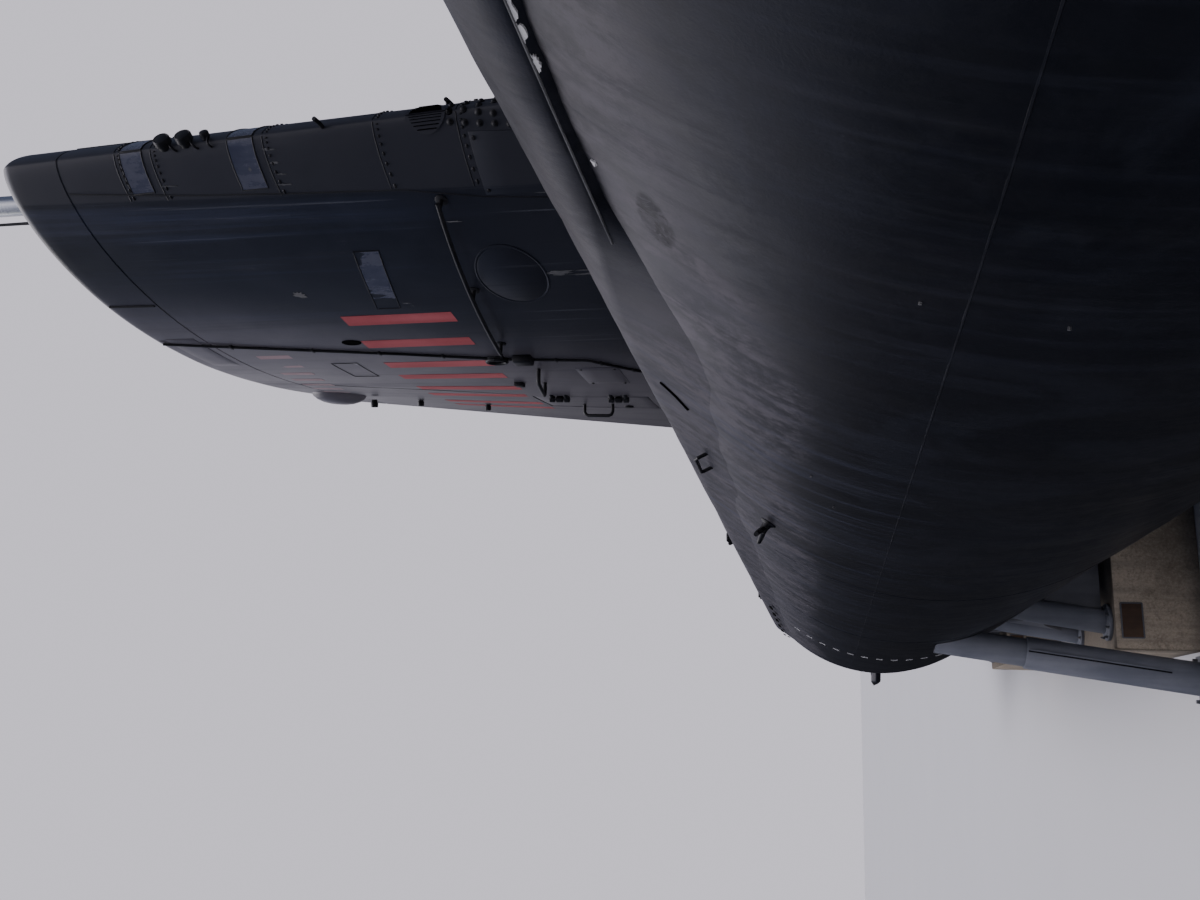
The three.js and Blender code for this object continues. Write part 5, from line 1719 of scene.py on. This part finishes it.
for name, (way, span) in SURFACES.items():
    place = along_way(way)
    rows = [
        (0.4, FIN_FRONT, FIN_BACK, 1), (mix(0.4, span, 0.6), mix(FIN_FRONT, FIN_BACK + 1, 0.6), FIN_BACK, 1),
        (span - 0.06, FIN_BACK + 1.03, FIN_BACK, 1), (span - 0.02, FIN_BACK + 0.99, FIN_BACK, 0.75),
        (span, FIN_BACK + 0.92, FIN_BACK, 0.35),
    ]
    foil("fin_of_" + name, rows, fin_profile, place)
    nose = SURFACE_AXIS + SURFACE_NOSE
    start = max(hull_reach(nose, way) + 0.03, hull_reach(SURFACE_BACK, way) + 0.06)
    rows = [
        (start, nose, SURFACE_BACK, 1), (span - 0.2, nose, SURFACE_BACK, 1),
        (span - 0.04, nose, SURFACE_BACK + 0.02, 0.95), (span - 0.012, nose - 0.02, SURFACE_BACK + 0.05, 0.7),
        (span, nose - 0.05, SURFACE_BACK + 0.12, 0.3),
    ]
    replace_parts(foil(name + "_foil", rows, surface_profile, place, body=name), name)
    stock = (place(SURFACE_AXIS, 0.45), place(SURFACE_AXIS, start + 0.1))
    rod(name + "_stock", *stock, SURFACE_STOCK, BOLT_STEEL, 24, body=name)
    for k, t in enumerate((0.35, 0.8)):
        out = mix(start, span, t)
        us, vs = [FIN_BACK + 0.01, FIN_BACK + 0.3], [out - 0.03, out + 0.03]
        for face, sign in (("a", 1), ("b", -1)):
            strap = lambda u, v, o, sign=sign: place(u, v, sign * (FIN_HALF + o))
            plate(f"fin_strap_{name}_{k}_{face}", strap, us, vs, 0.01, SEAM_PAINT, bevel=0.004, slot="hull")
print("tail surfaces made")

# %% [markdown]
# ## Propeller
# A blade is a twisted foil: its pitch angle falls from root to tip, so that every part of it bites at the same
# advance. Each blade is a grid of foil sections wrapped on cylinders about the shaft, which is how propellers are
# really drawn.

# %% Propeller
BOSS_FRONT, BOSS_BACK, BLADE_ROOT, BLADE_REACH, BLADES = -22.915, -23.85, 0.26, 1.3, 5
BLADE_MIDDLE = (BOSS_FRONT + BOSS_BACK) / 2
ADVANCE, SKEW, ROUNDED_FROM, HALF_ROOM = 1.25, 0.2, 0.7, 0.46
BOSS = [
    (0, 0), (0.36, 0), (0.38, 0.03), (0.38, 0.3), (0.36, 0.6), (0.32, 0.935), (0.3, 0.96), (0.27, 1.15), (0.2, 1.5),
    (0.12, 1.78), (0.06, 1.88), (0, 1.884),
]
BOSS_NUTS, NUT_CIRCLE, SHAFT_RADIUS = 8, 0.24, 0.158


def chord_at(t):
    if t < ROUNDED_FROM:
        return 0.4 + 0.5 * math.sin(math.pi * min(1, t * 0.62 + 0.2))
    return 0.9 * max(0.02, 1 - ((t - ROUNDED_FROM) / 0.3) ** 2.2) ** 0.5


def blade_rows(turn, steps=24, around_steps=20):
    rows = []
    for t in spaced(0, 1, steps):
        radius = mix(BLADE_ROOT, BLADE_REACH, t)
        chord = chord_at(t)
        thick = mix(0.05, 0.008, t)
        pitch = math.atan(ADVANCE / radius)
        skew = SKEW * t * t
        row = []
        for j in range(around_steps):
            a = j / around_steps * math.tau
            along = chord / 2 * math.cos(a)
            lift = thick * math.sin(a) + 0.03 * (1 - (2 * along / chord) ** 2) * (1 - t)
            dx = along * math.sin(pitch) + lift * math.cos(pitch)
            arc = (along * math.cos(pitch) - lift * math.sin(pitch)) / radius + turn + skew
            dx = max(min(dx, HALF_ROOM), -HALF_ROOM)
            row.append((BLADE_MIDDLE + dx, radius * math.sin(arc), SHAFT_HEIGHT + radius * math.cos(arc)))
        rows.append(row)
    return rows


spinning = {"body": "propeller"}
shaft = [(x, 0, SHAFT_HEIGHT) for x in (BOSS_FRONT + 0.8, BOSS_FRONT, BOSS_FRONT - 0.1)]
hub = turned("propeller_boss", BOSS, shaft[1], (-1, 0, 0), BRONZE, 64, slot="bronze", **spinning)
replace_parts(hub, "propeller")
for k in range(BLADES):
    skin(f"propeller_blade_{k}", blade_rows(k / BLADES * math.tau), BRONZE, slot="bronze", crisp=60, **spinning)
rod("propeller_shaft", shaft[0], shaft[2], SHAFT_RADIUS, BOLT_STEEL, 48, **spinning)
for k in range(BOSS_NUTS):
    turn = k / BOSS_NUTS * math.tau
    place = (BOSS_BACK + 0.02, NUT_CIRCLE * math.sin(turn), SHAFT_HEIGHT + NUT_CIRCLE * math.cos(turn))
    rod(f"boss_nut_{k}", place, (BOSS_BACK - 0.06, *place[1:]), 0.03, BOLT_STEEL, 6, **spinning)
print(BLADES, "blades")

# %% [markdown]
# ## Supports
# The boat stands on round steel tubes over concrete plinths. A tube that meets the hull is cut to the hull's curve,
# so each of its top points is found where its own line reaches the hull, instead of cutting it with a boolean.

# %% Tubes that meet the hull
GROUND = -AXIS_OVER_GROUND
PLINTH_HEIGHT, PLINTH_HALF_LENGTH = 1.2, 1.3
COLUMN_RADIUS, COLUMN_APART, COLUMN_LEAN, COLUMN_INSET = 0.178, 1.9, 0.15, 0.42
WEB_FOOT, WEB_INNER, WEB_HALF_THICK = 0.1, 1.25, 0.03
TIE_FOOT, HOLLOW_RISE, HOLLOW_HALF_WIDTH = 0.3, 0.42, 0.74
STRUT = {
    "radius": 0.205, "sleeve": 0.235, "top_out": 2.77, "top": 3.7, "foot_out": 3.27, "sleeve_top": 2.45, "plate": 0.35,
}
SLIT_TURN, SLIT_LOW, ANCHOR_OUT = -0.04, 0.55, 0.29
SUPPORTS = {"middle": (-3.25, 2.87, -2.0), "forward": (9.4, 2.87, 10.65), "aft": (-13.2, 2.5, None)}


def inside_hull(point):
    beam, top, bottom, middle = hull_lines(point.x)
    height = (point.z - middle) / (top if point.z > middle else bottom)
    return (point.y / beam) ** 2 + height**2 < 1


def up_to_hull(start, way, limit=4.0, steps=40, halvings=24):
    reached = [
        far for far in (limit * k / steps for k in range(1, steps + 1)) if inside_hull(start + way * far)
    ]
    if not reached:
        return None
    low, high = reached[0] - limit / steps, reached[0]
    for _ in range(halvings):
        middle = (low + high) / 2
        low, high = (low, middle) if inside_hull(start + way * middle) else (middle, high)
    return start + way * low


def tube_to_hull(name, foot, way, radius, longest, sides=40):
    side, other, way = around(way)
    foot = Vector(foot)
    turns = [k / sides * math.tau for k in range(sides)]
    ring = [foot + (side * math.cos(a) + other * math.sin(a)) * radius for a in turns]
    tops = [up_to_hull(p, way) or p + way * longest for p in ring]
    tops = [t if (t - p).length < longest else p + way * longest for t, p in zip(tops, ring)]
    rows = [[tuple(p + (t - p) * s) for p, t in zip(ring, tops)] for s in (0, 0.3, 0.6, 0.9, 1.0)]
    return skin(name, rows, TUBE_PAINT, slot="steelwork")


def flange(name, place, way, radius, thick, tube_radius, bolts=8):
    inner = tube_radius - 0.02
    profile = [
        (0, 0), (radius, 0), (radius, thick - 0.008), (radius - 0.008, thick), (tube_radius + 0.03, thick),
        (tube_radius + 0.006, thick + 0.022), (inner, thick + 0.022), (inner, thick), (0, thick),
    ]
    turned(name, profile, place, way, TUBE_PAINT, 48, slot="steelwork")
    side, other, way = around(way)
    bolt_circle = (radius + tube_radius + 0.03) / 2
    for k in range(bolts):
        turn = (k + 0.5) / bolts * math.tau
        spot = Vector(place) + (side * math.cos(turn) + other * math.sin(turn)) * bolt_circle + way * thick
        rod(f"{name}_bolt_{k}", spot, spot + way * 0.03, 0.022, BOLT_STEEL, 6, slot="steelwork")
        rod(f"{name}_stud_{k}", spot, spot + way * 0.055, 0.011, BOLT_STEEL, 10, slot="steelwork")


print("the lowest hull amidships is", round(AXIS_OVER_GROUND - HULL_RADIUS, 2), "m above the ground")


# %% Plinths
def poured_block(name, x, half_width, top):
    middle_z = (GROUND + top) / 2
    shell = bmesh.new()
    for vert in bmesh.ops.create_cube(shell, size=1.0)["verts"]:
        along, across, up = vert.co
        vert.co = (x + along * 2 * PLINTH_HALF_LENGTH, across * 2 * half_width, middle_z + up * PLINTH_HEIGHT)
    bmesh.ops.bevel(shell, geom=shell.edges[:], offset=0.028, segments=2, profile=0.5, affect="EDGES")
    long_edges = [e for e in shell.edges if e.calc_length() > 0.5]
    bmesh.ops.subdivide_edges(shell, edges=long_edges, cuts=18, use_grid_fill=True)
    for vert in shell.verts:
        px, py, pz = vert.co
        rough = 0.006 * noise.noise(Vector((px * 2.2, py * 2.2, pz * 2.2 + 7)))
        vert.co += (Vector((x, 0, middle_z)) - vert.co).normalized() * (0.008 + rough)
        vert.co.z = max(GROUND, vert.co.z)
    points = [tuple(v.co) for v in shell.verts]
    faces = [tuple(v.index for v in f.verts) for f in shell.faces]
    shell.free()
    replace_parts(piece("plinth_" + name + "_block", points, faces, CONCRETE, slot="concrete"), "plinth_" + name)


def blank_plate(name, x, half_width, top):
    face = before(x + PLINTH_HALF_LENGTH - 0.006)
    ys, zs = [0.18 - half_width, 0.66 - half_width], [top - 0.37, top - 0.1]
    plate(f"blank_plate_{name}", face, ys, zs, 0.012, RUST_PLATE, bevel=0.004, slot="steelwork")
    (y0, y1), (z0, z1) = (ys[0] - 0.01, ys[1] + 0.01), (zs[0] - 0.01, zs[1] + 0.01)
    rim = [face(y, z, 0.01) for y, z in ((y0, z0), (y1, z0), (y1, z1), (y0, z1))]
    for k in range(4):
        rod(f"plate_frame_{name}_{k}", rim[k], rim[(k + 1) % 4], 0.011, WEB_PAINT, 8, slot="steelwork")


for name, (x, half_width, _) in SUPPORTS.items():
    poured_block(name, x, half_width, GROUND + PLINTH_HEIGHT)
    blank_plate(name, x, half_width, GROUND + PLINTH_HEIGHT)
print(len(SUPPORTS), "plinths")

# %% [markdown]
# A saddle is two leaning columns with bolted flanges, a rib inboard of each, and a tie plate with an arched foot
# between them. A strut is a tube that telescopes out of a slit sleeve. Their webs end at the hull in the same way as
# the tubes do, so nothing stands proud of the skin or falls short of it.


# %% Saddles
def web_piece(name, slab):
    piece(name, *slab_mesh(*slab), WEB_PAINT, bevel=0.004, slot="steelwork")


def saddle(key, x, half_width, side, top):
    out = side * (half_width - COLUMN_INSET)
    inward = Vector((0, -side * COLUMN_LEAN, 1)).normalized()
    for k, at_x in enumerate((x - COLUMN_APART / 2, x + COLUMN_APART / 2)):
        foot = (at_x, out, top + 0.002)
        column = tube_to_hull(f"column_{key}_{k}", foot, inward, COLUMN_RADIUS, 2.2)
        if k == 0:
            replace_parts(column, "saddle_" + key)
        flange(f"column_flange_{key}_{k}", foot, (0, 0, 1), 0.27, 0.05, COLUMN_RADIUS)
        feet = [Vector((at_x, side * y, top + WEB_FOOT)) for y in spaced(WEB_INNER, abs(out), 16)]
        heads = [up_to_hull(p, Vector((0, 0, 1))).z for p in feet]
        faces = (at_x - WEB_HALF_THICK, at_x + WEB_HALF_THICK)
        web_piece(
            f"saddle_rib_{key}_{k}",
            [[[(fx, p.y, p.z), (fx, p.y, z)] for p, z in zip(feet, heads)] for fx in faces]
        )
    tie = []
    for y in (-WEB_HALF_THICK, WEB_HALF_THICK):
        rows = []
        for wx in spaced(x - COLUMN_APART / 2, x + COLUMN_APART / 2, 24):
            rise = TIE_FOOT + HOLLOW_RISE * max(0.0, 1 - ((wx - x) / HOLLOW_HALF_WIDTH) ** 2) ** 0.5
            foot = Vector((wx, out - side * COLUMN_LEAN * rise + y, top + rise))
            rows.append([tuple(foot), tuple(up_to_hull(foot, inward))])
        tie.append(rows)
    web_piece(f"saddle_tie_{key}", tie)


for name, (x, half_width, _) in SUPPORTS.items():
    for side_name, side in SIDES.items():
        saddle(f"{name}_{side_name}", x, half_width, side, GROUND + PLINTH_HEIGHT)
print(len(SUPPORTS) * len(SIDES), "saddles")


# %% Struts
def strut(key, x, side):
    foot = Vector((x, side * STRUT["foot_out"], GROUND + 0.03))
    head = Vector((x, side * STRUT["top_out"], GROUND + STRUT["top"]))
    way = (head - foot).normalized()
    lean = lambda height: foot + (head - foot) * ((height - 0.03) / (STRUT["top"] - 0.03))
    tube = tube_to_hull(f"strut_tube_{key}", lean(0.25), way, STRUT["radius"], (head - lean(0.25)).length)
    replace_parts(tube, "strut_" + key)
    long = (lean(STRUT["sleeve_top"]) - lean(0.07)).length
    outer, bore, inner = STRUT["sleeve"], STRUT["radius"] - 0.004, STRUT["radius"] - 0.02
    sleeve = [
        (inner, 0), (outer, 0), (outer, long - 0.02), (outer - 0.012, long), (bore, long), (bore, long / 2)
    ]
    turned(
        f"strut_sleeve_{key}", sleeve + [(inner, long / 2)], lean(0.07), way, TUBE_PAINT, 40, slot="steelwork"
    )
    half = STRUT["plate"]
    low, high = (x - half, foot.y - half, GROUND), (x + half, foot.y + half, GROUND + 0.06)
    block(f"strut_foot_plate_{key}", low, high, TUBE_PAINT, bevel=0.008, slot="steelwork")
    for k, (dx, dy) in enumerate(((-1, -1), (1, -1), (-1, 1), (1, 1))):
        spot = Vector((x + dx * ANCHOR_OUT, foot.y + dy * ANCHOR_OUT, GROUND + 0.06))
        rod(
            f"strut_anchor_{key}_{k}", spot, spot + Vector((0, 0, 0.06)), 0.028, BOLT_STEEL, 6, slot="steelwork"
        )
    outward = (Vector((0, side, 0)) - way * (side * way.y)).normalized()
    forward = way.cross(outward).normalized() * -side
    spoke = lambda u: forward * math.cos(u) + outward * math.sin(u)
    around_tube = lambda u, v, out: tuple(lean(v) + spoke(u) * (STRUT["sleeve"] + out))
    vs = spaced(SLIT_LOW, STRUT["sleeve_top"] - 0.02, 6)
    for k, u in enumerate((SLIT_TURN, math.pi + SLIT_TURN)):
        slit, rib = [u - 0.045, u + 0.045], spaced(u - 0.14, u - 0.05, 2)
        plate(f"strut_slit_{key}_{k}", around_tube, slit, vs, 0.003, SEAM_PAINT, bevel=0.0, slot="steelwork")
        plate(f"strut_rib_{key}_{k}", around_tube, rib, vs, 0.022, TUBE_PAINT, bevel=0.006, slot="steelwork")


for name, (_, _, strut_x) in SUPPORTS.items():
    if strut_x is not None:
        for side_name, side in SIDES.items():
            strut(f"{name}_{side_name}", strut_x, side)
print("struts at", [strut_x for _, _, strut_x in SUPPORTS.values() if strut_x is not None])

# %% [markdown]
# ## Carried-over nodes
# A CAD node that no finer piece replaces keeps its own mesh and takes the finish of its material slot.

# %% Finishes for what is left
FINISH_OF_SLOT = {
    "hull": HULL_PAINT, "casing": DECK_PAINT, "sail": SAIL_PAINT, "black": BLACK_PAINT, "steelwork": TUBE_PAINT,
    "mast": MAST_STEEL, "bronze": BRONZE, "concrete": CONCRETE,
}
slot_of = {part["node"]: part["material_slot"] for part in frame["record"]["subparts"]}
for thing in bpy.data.objects:
    if thing.name in slot_of:
        thing.data.materials.clear()
        thing.data.materials.append(FINISH_OF_SLOT[slot_of[thing.name]])

# %% [markdown]
# ## Studio
# A dark glossy shape is lit by what it reflects. Here that is a soft dome: bright overhead, paler straight ahead and
# astern than abeam, and dim near the ground, so the shoulder shines, the flank stays dark and the belly is darkest.
# The pale floor lights the boat but isn't mirrored in it, and the backdrop that the camera sees is plain.

# %% Light and floor
world = bpy.data.worlds.new("studio")
bpy.context.scene.world = world
world.use_nodes = True
sky = world.node_tree
background = sky.nodes["Background"]


def sky_node(kind, settings, sockets):
    made = sky.nodes.new(kind)
    for key, value in settings.items():
        setattr(made, key, value)
    for key, value in sockets.items():
        if hasattr(value, "is_output"):
            sky.links.new(value, made.inputs[key])
        else:
            made.inputs[key].default_value = value
    return made


def sky_ramp(value, start, stop, low, high):
    ends = {0: value, 1: start, 2: stop, 3: low, 4: high}
    return sky_node("ShaderNodeMapRange", {"interpolation_type": "SMOOTHSTEP"}, ends).outputs[0]


def sky_sum(kind, first, second=0.0):
    return sky_node("ShaderNodeMath", {"operation": kind}, {0: first, 1: second}).outputs[0]


direction = sky_node("ShaderNodeTexCoord", {}, {})
parts = sky_node("ShaderNodeSeparateXYZ", {}, {0: direction.outputs["Generated"]})
aside = sky_sum("ABSOLUTE", parts.outputs[1])
abeam = sky_ramp(aside, 0.08, 0.6, 0.0, 1.0)
band = sky_ramp(parts.outputs[2], 0.18, 0.55, 0.0, 0.56)
band = sky_sum("MULTIPLY", band, sky_sum("SUBTRACT", 1.3, sky_sum("MULTIPLY", abeam, 1.1)))
steep = sky_sum("MULTIPLY", sky_ramp(parts.outputs[2], 0.42, 0.62, 0.0, 0.3), sky_sum("SUBTRACT", 1.0, abeam))
band = sky_sum("MULTIPLY", band, sky_sum("SUBTRACT", 1.0, steep))
ends = sky_sum(
    "MULTIPLY", sky_ramp(parts.outputs[2], 0.04, 0.22, 0.0, 0.2), sky_ramp(aside, 0.04, 0.22, 1.0, 0.0)
)
overhead = sky_ramp(parts.outputs[2], 0.8, 1.0, 0.0, 3.2)
lit = sky_sum("ADD", sky_sum("ADD", sky_sum("ADD", band, ends), 0.03), overhead)
camera_ray = sky_node("ShaderNodeLightPath", {}, {})
seen = sky_node(
    "ShaderNodeMix", {"data_type": "FLOAT"}, {0: camera_ray.outputs["Is Camera Ray"], 2: lit, 3: 0.85}
)
blue = sky_sum("MULTIPLY", abeam, sky_ramp(parts.outputs[2], 0.7, 0.9, 1.0, 0.0))
blue = sky_sum("MULTIPLY", blue, sky_sum("SUBTRACT", 1.0, camera_ray.outputs["Is Camera Ray"]))
tint = sky_node(
    "ShaderNodeMix", {"data_type": "RGBA"}, {0: blue, 6: (0.97, 0.93, 1.05, 1.0), 7: (0.66, 0.8, 1.28, 1.0)}
)
sky.links.new(tint.outputs[2], background.inputs["Color"])
sky.links.new(seen.outputs[0], background.inputs["Strength"])

key_light = bpy.data.objects.new("soft_key", bpy.data.lights.new("soft_key", "SUN"))
key_light.data.energy = 0.45
key_light.data.angle = math.radians(40)
key_light.data.color = (1.0, 0.97, 0.93)
key_light.rotation_euler = Vector((-0.35, -0.25, 1.0)).to_track_quat("Z", "Y").to_euler()
bpy.context.scene.collection.objects.link(key_light)

floor_mesh = bpy.data.meshes.new("floor")
floor_mesh.from_pydata([(-90, -90, 0), (90, -90, 0), (90, 90, 0), (-90, 90, 0)], [], [(0, 1, 2, 3)])
floor = bpy.data.objects.new("floor", floor_mesh)
floor.data.materials.append(FLOOR_FINISH)
floor.visible_glossy = False
bpy.context.scene.collection.objects.link(floor)
print("stage: a soft world, one wide sun and a pale floor")
